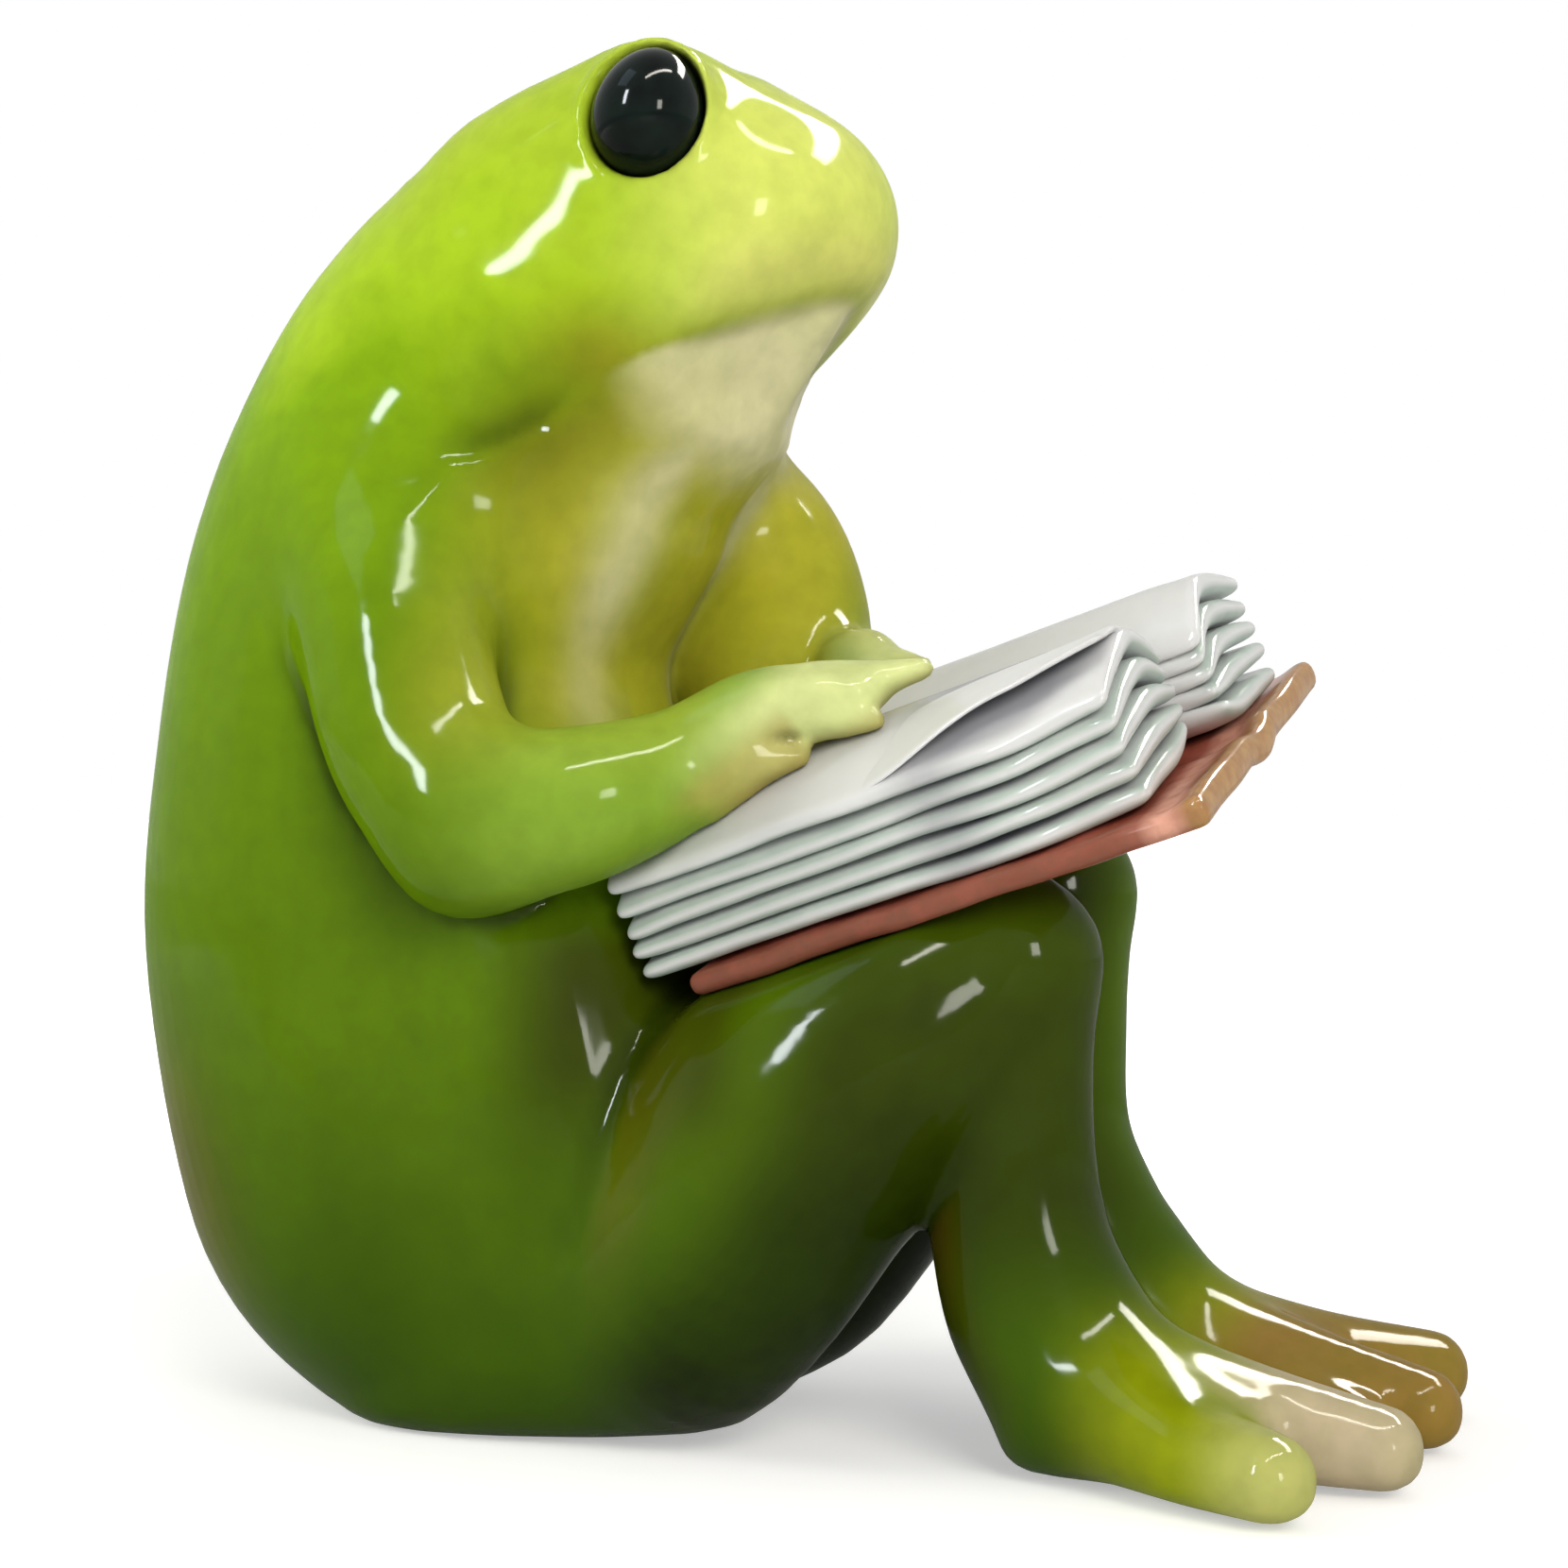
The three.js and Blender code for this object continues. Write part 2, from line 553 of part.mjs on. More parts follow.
function thighForm(side, knee) {
  const hip = new THREE.Vector3(HIP_FORWARD, (side * HIP_SPACING) / 2, HIP_HEIGHT);
  const between = (share, forward, out, up) => hip.clone().lerp(knee, share)
    .add(new THREE.Vector3(forward, side * out, up));
  const low = between(0.32, 0.2, 2.4, -3.6);
  const half = between(0.57, -0.5, 2.6, -1);
  const high = between(0.8, -0.4, 1.6, 0);
  return sweptForm([
    section(hip.x, hip.y, hip.z, HIP_RADIUS),
    section(low.x, low.y, low.z, THIGH_RADIUS - 1),
    section(half.x, half.y, half.z, THIGH_RADIUS),
    section(high.x, high.y, high.z, THIGH_RADIUS - 0.7),
    section(knee.x, knee.y, knee.z, KNEE_RADIUS),
  ], { sides: 16 });
}

function legForm(side) {
  const knee = kneeCentre(side);
  const ankle = new THREE.Vector3(kneeCentre(RIGHT).x + 1.4, knee.y + side * 0.1, ANKLE_HEIGHT);
  const shin = sweptForm([
    section(knee.x, knee.y, knee.z, KNEE_RADIUS),
    section(knee.x - 0.1, knee.y, (knee.z * 2 + ankle.z) / 3, SHIN_RADIUS),
    section(knee.x + 0.3, knee.y, (knee.z + ankle.z * 2) / 3, SHIN_RADIUS),
    section(ankle.x, ankle.y, ankle.z, ANKLE_RADIUS),
    section(ankle.x + 1.8, ankle.y + side * 0.5, 3.4, ANKLE_RADIUS - 0.6),
  ]);
  const instep = sweptForm([
    section(ankle.x + 2.6, ankle.y + side * 0.2, 3.2, FOOT_HALF_WIDTH - 1.2, FOOT_HALF_DEPTH + 1.3),
    section(ankle.x + 5.1, ankle.y + side * 0.3, 1.6, FOOT_HALF_WIDTH - 1.3, FOOT_HALF_DEPTH + 1.5),
    section(ankle.x + FOOT_LENGTH, ankle.y + side, 1, FOOT_HALF_WIDTH, FOOT_HALF_DEPTH),
  ], { startDome: 0.8, endDome: 0.7 });
  const toeSpot = (forward, out, up) => new THREE.Vector3(ankle.x + forward, ankle.y + side * out, up);
  const toeHeight = TOE_RADIUS - SOLE_FLAT;
  const longer = side === LEFT ? LEFT_OUTER_TOE_EXTRA : 0;
  const middleToe = toeForm(toeSpot(4.6, 0.2, 4), toeSpot(MIDDLE_TOE_REACH, -0.6, toeHeight), TOE_RADIUS);
  const outerToe = toeForm(
    toeSpot(4.8, 0.7, 3.6),
    toeSpot(OUTER_TOE_REACH + longer, OUTER_TOE_SPLAY + longer / 2, toeHeight),
    TOE_RADIUS,
  );
  const innerToe = toeForm(
    toeSpot(4.6, -0.8, 3.6),
    toeSpot(INNER_TOE_REACH, -INNER_TOE_SPLAY, INNER_TOE_RADIUS - SOLE_FLAT),
    INNER_TOE_RADIUS,
  );
  return join(thighForm(side, knee), shin, instep, middleToe, outerToe, innerToe);
}

function otherSideOf(side) {
  const block = new THREE.BoxGeometry(CUTTER_SIZE, CUTTER_SIZE, CUTTER_SIZE);
  block.translate(0, -side * (CUTTER_SIZE / 2 - BOND_GAP / 2), 0);
  return solidOf(block);
}

// Pins stand across the figure at the shoulders and hips, and square to the cover at the knees
function shoulderPinPlace(side) {
  const at = side === RIGHT
    ? new THREE.Vector3(-0.6, -CHEST_HALF_WIDTH - 0.1, shoulderHeight - 4.6)
    : new THREE.Vector3(4.6, CHEST_HALF_WIDTH - 1.6, shoulderHeight + 1.6);
  return pinPlace(at, TO_LEFT);
}

function hipPinPlace(side) {
  const outward = new THREE.Vector3(0.8, side * 0.6, 0);
  const middle = new THREE.Vector3(LAP_FORWARD + 4.1, side * (LAP_HALF_WIDTH - 3.1), HIP_HEIGHT + 2.6);
  return pinPlace(middle, outward);
}

function kneePinPlace(side) {
  const foot = kneeCentre(side);
  const middle = foot.addScaledVector(coverNormal, KNEE_RADIUS - KNEE_FLAT);
  return pinPlace(middle, coverNormal);
}

const pinPlaces = {
  right_shoulder_pin: [shoulderPinPlace(RIGHT), SHOULDER_PIN_LENGTH],
  left_shoulder_pin: [shoulderPinPlace(LEFT), SHOULDER_PIN_LENGTH],
  right_hip_pin: [hipPinPlace(RIGHT), HIP_PIN_LENGTH],
  left_hip_pin: [hipPinPlace(LEFT), HIP_PIN_LENGTH],
  right_knee_pin: [kneePinPlace(RIGHT), KNEE_PIN_LENGTH],
  left_knee_pin: [kneePinPlace(LEFT), KNEE_PIN_LENGTH],
};

function holeFor(pin) {
  return pinHole(...pinPlaces[pin]);
}

function holeInBook(pin) {
  const [place, length] = pinPlaces[pin];
  const local = book.matrixWorld.clone().invert().multiply(place);
  return pinHole(local, length);
}

// Finishes
const paint = new THREE.MeshStandardMaterial({ color: 0x7fae22, roughness: 0.18, metalness: 0 });
const beadGloss = new THREE.MeshStandardMaterial({ color: 0x0a0b0a, roughness: 0.04, metalness: 0 });
const coverPaint = new THREE.MeshStandardMaterial({ color: 0xb0553f, roughness: 0.3, metalness: 0 });
const pagePaint = new THREE.MeshStandardMaterial({ color: 0xf0efe8, roughness: 0.4, metalness: 0 });
const wire = new THREE.MeshStandardMaterial({ color: 0x8d9094, roughness: 0.35, metalness: 1 });

const figure = new THREE.Group();

function addPiece(parent, name, geometry, material) {
  const mesh = new THREE.Mesh(geometry, material.clone());
  mesh.name = name;
  parent.add(mesh);
}

const bodyHoles = ['right_shoulder_pin', 'left_shoulder_pin', 'right_hip_pin', 'left_hip_pin'].map(holeFor);
const sockets = [RIGHT, LEFT].map((side) => solidOf(eyeGeometry(side, BOND_GAP)));
const bodyCasting = cut(bodyForm(0), belowFloor, bookClearance, ...sockets, ...bodyHoles);
addPiece(figure, 'body_casting', geometryOf(bodyCasting), paint);

addPiece(
  figure,
  'right_arm',
  geometryOf(cut(rightArmForm, bodyClearance, pageClearance[0], holeFor('right_shoulder_pin'))),
  paint,
);
addPiece(
  figure,
  'left_arm',
  geometryOf(cut(leftArmForm, bodyClearance, pageClearance[1], holeFor('left_shoulder_pin'))),
  paint,
);

for (const [label, side] of [['right', RIGHT], ['left', LEFT]]) {
  const leg = cut(
    legForm(side),
    belowFloor,
    bodyClearance,
    otherSideOf(side),
    bookClearance,
    holeFor(`${label}_hip_pin`),
    holeFor(`${label}_knee_pin`),
  );
  addPiece(figure, `${label}_leg`, geometryOf(leg), paint);
  addPiece(figure, `${label}_eye`, eyeGeometry(side), beadGloss);
}

const coverBlank = solidOf(alongBook(coverOutline(), COVER_LENGTH, -COVER_LENGTH / 2));
const coverHoles = ['right_knee_pin', 'left_knee_pin'].map(holeInBook);
addPiece(book, 'book_cover', geometryOf(cut(coverBlank, ...coverHoles)), coverPaint);
for (const [label, side] of [['right', RIGHT], ['left', LEFT]]) {
  const block = cut(solidOf(pageGeometry(side)), holeInBook(`${label}_knee_pin`));
  addPiece(book, `${label}_page_block`, geometryOf(block), pagePaint);
}
addPiece(book, 'lifted_leaf', liftedLeafGeometry(), pagePaint);
figure.add(book);

for (const [name, [place, length]] of Object.entries(pinPlaces)) {
  const mesh = new THREE.Mesh(pinGeometry(length), wire.clone());
  mesh.name = name;
  mesh.applyMatrix4(place);
  figure.add(mesh);
}

export default figure;
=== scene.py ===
import math

import bmesh
import bpy
import numpy as np
import openvdb
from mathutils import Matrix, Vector


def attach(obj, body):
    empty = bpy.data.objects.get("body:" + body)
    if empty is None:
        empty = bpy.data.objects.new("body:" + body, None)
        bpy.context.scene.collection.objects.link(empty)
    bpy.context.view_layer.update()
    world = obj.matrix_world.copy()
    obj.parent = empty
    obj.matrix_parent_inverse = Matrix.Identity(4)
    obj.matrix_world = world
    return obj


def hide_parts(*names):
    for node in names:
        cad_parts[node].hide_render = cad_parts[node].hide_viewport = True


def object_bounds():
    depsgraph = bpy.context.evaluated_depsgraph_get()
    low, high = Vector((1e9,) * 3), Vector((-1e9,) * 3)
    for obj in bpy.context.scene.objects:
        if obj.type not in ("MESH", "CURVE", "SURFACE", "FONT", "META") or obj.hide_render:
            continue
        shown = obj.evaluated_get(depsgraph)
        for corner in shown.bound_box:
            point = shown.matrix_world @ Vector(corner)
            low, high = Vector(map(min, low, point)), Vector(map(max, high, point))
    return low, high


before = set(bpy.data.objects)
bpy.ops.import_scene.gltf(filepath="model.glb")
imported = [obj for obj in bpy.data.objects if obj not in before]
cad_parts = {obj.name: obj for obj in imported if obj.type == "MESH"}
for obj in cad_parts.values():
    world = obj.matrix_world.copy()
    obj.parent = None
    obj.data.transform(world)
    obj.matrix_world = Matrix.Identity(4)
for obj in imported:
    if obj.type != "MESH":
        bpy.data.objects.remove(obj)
cad_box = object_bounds()

# Trunk and head: one resin casting, poured in a soft mould, so that every edge is round.
# It is worked out as a distance field on a fine grid in millimetres, where forms melt together as
# clay does. The skin of the whole figure is taken from that field once the limbs are on.
MM = 0.001
GRAIN = 0.265
BAND = 12
GRID_MARGIN = 2.5
grid_low = np.array(cad_box[0]) / MM - GRID_MARGIN
grid_count = np.ceil((np.array(cad_box[1]) / MM + GRID_MARGIN - grid_low) / GRAIN).astype(int)
X, Y, Z = np.meshgrid(
    *(grid_low[k] + GRAIN * np.arange(grid_count[k], dtype=np.float32) for k in range(3)),
    indexing="ij", sparse=True)
RIGHT = -1
LEFT = 1


def curve_through(rows, steps):
    """Rows on a smooth curve through the given rows."""
    rows = np.asarray(rows, float)
    ends = np.vstack([2 * rows[0] - rows[1], rows, 2 * rows[-1] - rows[-2]])
    t = np.linspace(0, 1, steps, endpoint=False)[:, None]
    out = []
    for k in range(len(rows) - 1):
        a, b, c, d = ends[k:k + 4]
        bend = (2 * a - 5 * b + 4 * c - d) * t ** 2 + (3 * b - a - 3 * c + d) * t ** 3
        out.append(0.5 * (2 * b + (c - a) * t + bend))
    return np.vstack([*out, rows[-1:]])


def field_of(points, quads):
    """Distance field of a closed surface, on the grid of the whole figure."""
    level = openvdb.FloatGrid.createLevelSetFromPolygons(
        (points - grid_low).astype(np.float32), quads=quads.astype(np.uint32),
        transform=openvdb.createLinearTransform(voxelSize=GRAIN), halfWidth=BAND)
    values = np.full(grid_count, BAND * GRAIN, np.float32)
    level.copyToArray(values)
    return values


def swept(stations, domes=(0.9, 0.9), sides=40, steps=8):
    """Field of a rounded form through stations of x, y, z, half width and half depth."""
    rows = curve_through([s if len(s) == 5 else (*s, s[3]) for s in stations], steps)
    spots, sizes = rows[:, :3], rows[:, 3:]
    tangents = np.gradient(spots, axis=0)
    tangents /= np.linalg.norm(tangents, axis=1)[:, None]
    across = np.array([0, 1, 0]) - tangents * tangents[:, 1:2]
    across /= np.linalg.norm(across, axis=1)[:, None]
    deep = np.cross(tangents, across)
    dome = np.linspace(0, math.pi / 2, 8)
    rings = [(0, math.cos(a), -math.sin(a) * domes[0]) for a in dome[:0:-1]]
    rings += [(k, 1, 0) for k in range(len(rows))]
    rings += [(len(rows) - 1, math.cos(a), math.sin(a) * domes[1]) for a in dome[1:]]
    turn = np.linspace(0, 2 * math.pi, sides, endpoint=False)
    points = []
    for k, wide, reach in rings:
        wide = max(wide, 1e-3)
        middle = spots[k] + tangents[k] * reach * sizes[k].min()
        points.append(middle + np.outer(np.cos(turn), across[k]) * wide * sizes[k, 0]
                      + np.outer(np.sin(turn), deep[k]) * wide * sizes[k, 1])
    here = np.arange(sides)
    after = (here + 1) % sides
    quads = [np.stack([r + here, r + after, r + sides + after, r + sides + here], 1)
             for r in range(0, (len(rings) - 1) * sides, sides)]
    cap = np.array([[j, j + 1, sides - 2 - j, sides - 1 - j] for j in range(sides // 2 - 1)])
    quads += [cap[:, ::-1], cap + (len(rings) - 1) * sides]
    return field_of(np.vstack(points), np.vstack(quads))


def melt(a, b, radius):
    """Joins two fields with a fillet of that radius."""
    share = np.maximum(radius - np.abs(a - b), 0) / radius
    return np.minimum(a, b) - share * share * radius / 4


def carve(a, b, radius):
    """Takes field b out of field a and rounds the edge."""
    return -melt(-a, b, radius)


def ease(value, start, end):
    """Rises smoothly from 0 at start to 1 at end."""
    t = np.clip((value - start) / (end - start), 0, 1)
    return t * t * (3 - 2 * t)


BODY_FILLET = 3.0
trunk = swept([
    (0.5, 0, 3.6, 9.7, 9.1), (-2.6, 0, 10.5, 12.4, 12.25), (-5.4, 0, 20.5, 12.4, 12.05),
    (-5.4, 0, 28.75, 12.1, 11.6), (-4.2, 0, 37, 11.6, 11.1), (-0.5, 0, 44, 10.9, 11.2),
    (3.0, 0, 48.4, 10.2, 10.1)], domes=(0.75, 0.5), sides=64)
belly = swept([
    (4.5, 0, 5, 9.5, 7.5), (5.4, 0, 12, 11.4, 7.6), (4.4, 0, 19, 11.4, 7.0), (1.5, 0, 26, 10, 6.5)])
head = swept([
    (0.8, 0, 47.8, 9, 7.6), (4.8, 0, 50.2, 10.2, 9), (8.6, 0, 52.4, 9.8, 7.5),
    (12.9, 0, 52.2, 8.1, 5.7)], domes=(0.7, 0.9), sides=64)
forehead = swept([(4.5, 0, 53.6, 7, 5.0), (10.0, 0, 54.8, 6.4, 3.7), (12.6, 0, 53.4, 5.4, 3.5)])
body = trunk
for form in (head, forehead, belly):
    body = melt(body, form, BODY_FILLET)
for side in (RIGHT, LEFT):
    jowl = swept([
        (3.0, side * 4.5, 47.5, 5.0), (8.5, side * 4.2, 48.7, 4.6), (12.4, side * 2.6, 49.9, 3.6)])
    body = melt(body, jowl, BODY_FILLET)

MOUTH_CORNER = (9.6, 46.0)
MOUTH_SLOPE = 0.54
MOUTH_FRONT = 16.4


def over_mouth(x, z):
    """Height over the mouth line, which rises from its corner and runs level round the snout."""
    bend = x - MOUTH_FRONT
    rise = MOUTH_SLOPE * (x - MOUTH_CORNER[0] - (bend + np.sqrt(bend * bend + 1.0)) / 2)
    return (z - MOUTH_CORNER[1] - rise) / math.hypot(1, MOUTH_SLOPE)


# The throat is a wedge under the mouth: two flat faces that meet in a keel, from the chin to the chest.
# The lip ends over it in a soft edge. The factors of X, Y and Z give the way that each flat face looks.
CHIN = (16.0, 48.8)
KEEL_ROUNDING = 0.8
THROAT_FOOT = (12.4, 42.8)
THROAT_HALF_WIDTH = 8.6
LIP_UNDERSIDE = (17.2, 49.8)
LIP_UNDERSIDE_LOW = 47.4
above_mouth = over_mouth(X, Z)
faces = [0.764 * (X - CHIN[0]) + 0.40 * side * Y - 0.505 * (Z - CHIN[1]) for side in (RIGHT, LEFT)]
wedge = carve(faces[0], -faces[1], KEEL_ROUNDING)
throat = carve(wedge, 0.89 * (Z - THROAT_FOOT[1]) - 0.45 * (X - THROAT_FOOT[0]), 2.5)
throat = carve(throat, THROAT_HALF_WIDTH - 0.3 * (X - 9) - np.abs(Y), 2.0)
throat = np.maximum(throat, np.maximum(2 - X, above_mouth + 0.2))
body = melt(body, throat, 1.6)
for side in (RIGHT, LEFT):
    under_chin = 0.63 * (Z - LIP_UNDERSIDE[1]) - 0.72 * (X - LIP_UNDERSIDE[0]) - 0.29 * side * Y
    body = carve(body, np.maximum(under_chin, LIP_UNDERSIDE_LOW - Z), 1.2)
under_lip = ease(X, 9.6, 12.5) * ease(-above_mouth, -0.1, 0.4) * ease(Z, 43.0, 45.5)
body = body + under_lip * np.maximum(wedge - body, 0)
NECK_DENT = (5.5, 10.8, 43.0)
NECK_DENT_SPREAD = (4.5, 5, 4.5)
NECK_DENT_DEPTH = 1.0
for side in (RIGHT, LEFT):
    away = (((X - NECK_DENT[0]) / NECK_DENT_SPREAD[0]) ** 2
            + ((Y - side * NECK_DENT[1]) / NECK_DENT_SPREAD[1]) ** 2
            + ((Z - NECK_DENT[2]) / NECK_DENT_SPREAD[2]) ** 2)
    body = body + NECK_DENT_DEPTH * np.exp(-away)

BROW_FILLET = 2.4
for side in (RIGHT, LEFT):
    brow = swept([(2.5, side * 4.6, 53.4, 3.6), (9.0, side * 5.5, 56.3, 3.42)], domes=(1, 1))
    body = melt(body, brow, BROW_FILLET)

MOUTH_CREASE_DEPTH = 0.14
MOUTH_CREASE_SPREAD = 0.25
mouth_reach = ease(X, MOUTH_CORNER[0] - 1.0, MOUTH_CORNER[0] + 2.5)
body = body + MOUTH_CREASE_DEPTH * mouth_reach * np.exp(-(above_mouth / MOUTH_CREASE_SPREAD) ** 2)

# The eyelids are a thin rim of the casting that stands out further above the bead than below it, with a
# groove between rim and bead. The socket behind leaves the bead a little room for glue.
EYE_AT = (10.25, 8.4, 56.3)
EYE_HALF = (2.3, 2.5, 2.75)
EYE_LEAN = 0.3
LID_OVER_BEAD = 0.52
LOWER_LID_THINNER = 0.22
LID_OUTWARD = 0.5
UPPER_LID_FURTHER = 0.4
GROOVE_OVER_BEAD = 0.28
UPPER_GROOVE_THINNER = 0.25
GROOVE_FLOOR = 0.35
SOCKET_ROOM = 0.08
LID_ROUNDING = 0.5
LID_FILLET = 0.8


def egg(side, room):
    """Field of one eye's egg, with some room round the bead; its top leans forwards."""
    x, y, z = X - EYE_AT[0], Y - side * EYE_AT[1], Z - EYE_AT[2]
    tip, rise = math.sin(EYE_LEAN), math.cos(EYE_LEAN)
    x, z = x * rise - z * tip, x * tip + z * rise
    half = [h + room for h in EYE_HALF]
    near = np.sqrt((x / half[0]) ** 2 + (y / half[1]) ** 2 + (z / half[2]) ** 2)
    steep = np.sqrt((x / half[0] ** 2) ** 2 + (y / half[1] ** 2) ** 2 + (z / half[2] ** 2) ** 2)
    return near * (near - 1) / (steep + 1e-6)


for side in (RIGHT, LEFT):
    outward = 0.12 * (X - EYE_AT[0]) + 0.96 * side * (Y - side * EYE_AT[1]) + 0.2 * (Z - EYE_AT[2])
    upper = ease(Z - EYE_AT[2] - 0.4 * (X - EYE_AT[0]), -1.5, 1.2)
    lid = egg(side, LID_OVER_BEAD) + LOWER_LID_THINNER * (1 - upper)
    lid = carve(lid, LID_OUTWARD + UPPER_LID_FURTHER * upper - outward, LID_ROUNDING)
    body = melt(body, lid, LID_FILLET)
    groove = egg(side, GROOVE_OVER_BEAD) + UPPER_GROOVE_THINNER * upper
    body = carve(body, np.maximum(groove, GROOVE_FLOOR - outward), LID_ROUNDING)
    body = carve(body, egg(side, SOCKET_ROOM), LID_ROUNDING)

# Arms: resin castings bonded on at the shoulders, each with a flattened hand and three pointed
# fingers that lie on the page. The book's own lie comes first, because hands and knees follow it.
BOOK_MIDDLE = np.array([23.75, 0, 25.9])
BOOK_PITCH = math.radians(19.6)
BOOK_ROLL = math.radians(16.2)
BOOK_TURN = math.radians(-5.5)
PAGE_BOTTOM = 1.05
PAGE_EDGE = 5.7
PAGE_CREST = 7.6
PAGE_VALLEY = 4.8
CREST_AT = 3.4
GUTTER = 0.35
FORE_EDGE = 9.7
PAGE_TAIL = -14.15
PAGE_HEAD = 9.95
COVER_ALONG = 11.95
COVER_ACROSS = 10.4
BOOK_ROOM = 0.35
HAND_ROOM = 0.06
ELBOW_FILLET = 1.4
FINGER_FILLET = 0.8


def turn_about(axis, angle):
    """Matrix of a turn about one axis."""
    i, j = [(1, 2), (2, 0), (0, 1)][axis]
    turn = np.eye(3)
    turn[i, i] = turn[j, j] = math.cos(angle)
    turn[j, i] = math.sin(angle)
    turn[i, j] = -turn[j, i]
    return turn


book_turn = turn_about(1, -BOOK_PITCH) @ turn_about(0, BOOK_ROLL) @ turn_about(2, BOOK_TURN)


def page_top(across):
    """Height of the page over the cover's underside: a crest beside the gutter, then a fall."""
    across = np.abs(across)
    valley = np.clip((CREST_AT - across) / CREST_AT, 0, 1)
    fall = np.clip((across - CREST_AT) / (FORE_EDGE - CREST_AT), 0, 1.4)
    return PAGE_CREST - (PAGE_CREST - PAGE_VALLEY) * valley ** 2 - (PAGE_CREST - PAGE_EDGE) * fall ** 1.5


def on_page(along, across, above):
    """A point of the figure over the page, from its place in the book."""
    return BOOK_MIDDLE + book_turn @ np.array([along, across, page_top(across) + above])


book_along, book_across, book_up = (
    sum(book_turn[k, j] * (axis - BOOK_MIDDLE[k]) for k, axis in enumerate((X, Y, Z))) for j in range(3))
above_page = book_up - page_top(book_across)


def lengthwise(tail, head):
    """Field of the room between two ends of the book."""
    return np.abs(book_along - (tail + head) / 2) - (head - tail) / 2


pages = np.maximum(np.maximum(above_page, np.abs(book_across) - FORE_EDGE),
                   lengthwise(PAGE_TAIL, PAGE_HEAD))
book = np.maximum(np.maximum(above_page, -0.1 - book_up),
                  np.maximum(np.abs(book_across) - COVER_ACROSS, lengthwise(PAGE_TAIL, COVER_ALONG)))
body = carve(body, book - BOOK_ROOM, 0.6)


def arm(upper, fore, hand, fingers):
    """Field of an arm; the hand and the fingers are given by their places over the page."""
    forearm = swept([*fore, *((*on_page(*s[:3]), *s[3:]) for s in hand)])
    form = melt(swept(upper), forearm, ELBOW_FILLET)
    for finger in fingers:
        form = melt(form, swept([(*on_page(*s[:3]), *s[3:]) for s in finger]), FINGER_FILLET)
    return carve(form, pages - HAND_ROOM, 0.15)


right_arm = arm(
    [(-2.6, -7.5, 39.8, 3.9), (-0.4, -10.9, 34.1, 4.0), (1.7, -12.2, 29.5, 3.9), (4.4, -12.5, 26.4, 3.7)],
    [(3.8, -12.5, 26.7, 3.7), (8.4, -11.7, 27.3, 3.3)],
    [(-9.55, -7.6, 2.4, 2.5, 2.6), (-6.2, -5.5, 2.4, 2.4, 1.9), (-3.4, -4.5, 1.8, 2.2, 1.3),
     (-1.9, -4.3, 1.3, 1.8, 0.9)],
    [[(-3.8, -3.9, 1.8, 1.4, 1.1), (-1.6, -3.5, 1.4, 1.2, 0.8), (0.5, -3.1, 1.1, 0.6, 0.45)],
     [(-4.0, -5.0, 1.4, 1.4, 1.1), (-2.6, -5.3, 0.9, 1.2, 0.85), (-1.3, -5.6, 0.45, 0.55, 0.4)],
     [(-8.6, -7.8, 1.2, 1.4, 1.2), (-6.6, -6.9, 1.1, 1.4, 1.05), (-4.8, -6.3, 0.5, 0.7, 0.5)]])
left_elbow = on_page(-11.9, 10.2, 3.3)
left_arm = arm(
    [(2.7, 6.8, 43.6, 3.9), (5.6, 9.0, 41.0, 4.2), (8.3, 9.8, 37.2, 4.4), (*left_elbow, 4.0)],
    [(*left_elbow, 3.8)],
    [(-9.0, 9.4, 2.2, 2.3, 2.3), (-7.0, 8.2, 1.8, 1.7, 1.8)],
    [[(-7.2, 8.2, 1.7, 1.5, 1.5), (-5.2, 7.2, 1.0, 1.2, 1.0), (-3.6, 6.4, 0.5, 0.6, 0.45)],
     [(-7.4, 7.8, 1.6, 1.5, 1.4), (-6.2, 6.2, 0.9, 1.2, 0.95), (-5.2, 4.9, 0.5, 0.6, 0.45)],
     [(-7.8, 7.6, 1.5, 1.5, 1.3), (-7.8, 6.0, 0.8, 1.15, 0.9), (-7.6, 4.7, 0.45, 0.6, 0.45)]])
left_elbow_pad = swept([(1.6, 8.2, 40.6, 4.0), (3.8, 9.8, 36.2, 4.4), (8.2, 10.2, 33.4, 3.8)])
LEFT_ELBOW_FILLET = 2.6
left_arm = melt(left_arm, left_elbow_pad, LEFT_ELBOW_FILLET)

# Legs: resin castings bonded on at the hips, drawn up so that the knees carry the book.
# Each foot is a flat wedge with three stout toes, the outer one turned out.
KNEE_SPREAD = 4.8
KNEE_UNDER_COVER = 3.4
KNEE_ROOM = 0.08
KNEE_FORWARD = {RIGHT: 1.1, LEFT: -0.2}
HIP = (5.0, 3.0, 5.6)
ANKLE = (2.5, 4.9, 6.6)
OUTER_TOE = {RIGHT: ((11.2, 6.6, 1.8), 2.15), LEFT: ((12.8, 7.35, 2.0), 2.7)}
TOE_ARCH_AT = 0.55
KNEE_CREASE = 0.8
INSTEP_FILLET = 2.8
TOE_FILLET = 0.9
cover_normal = book_turn[:, 2]


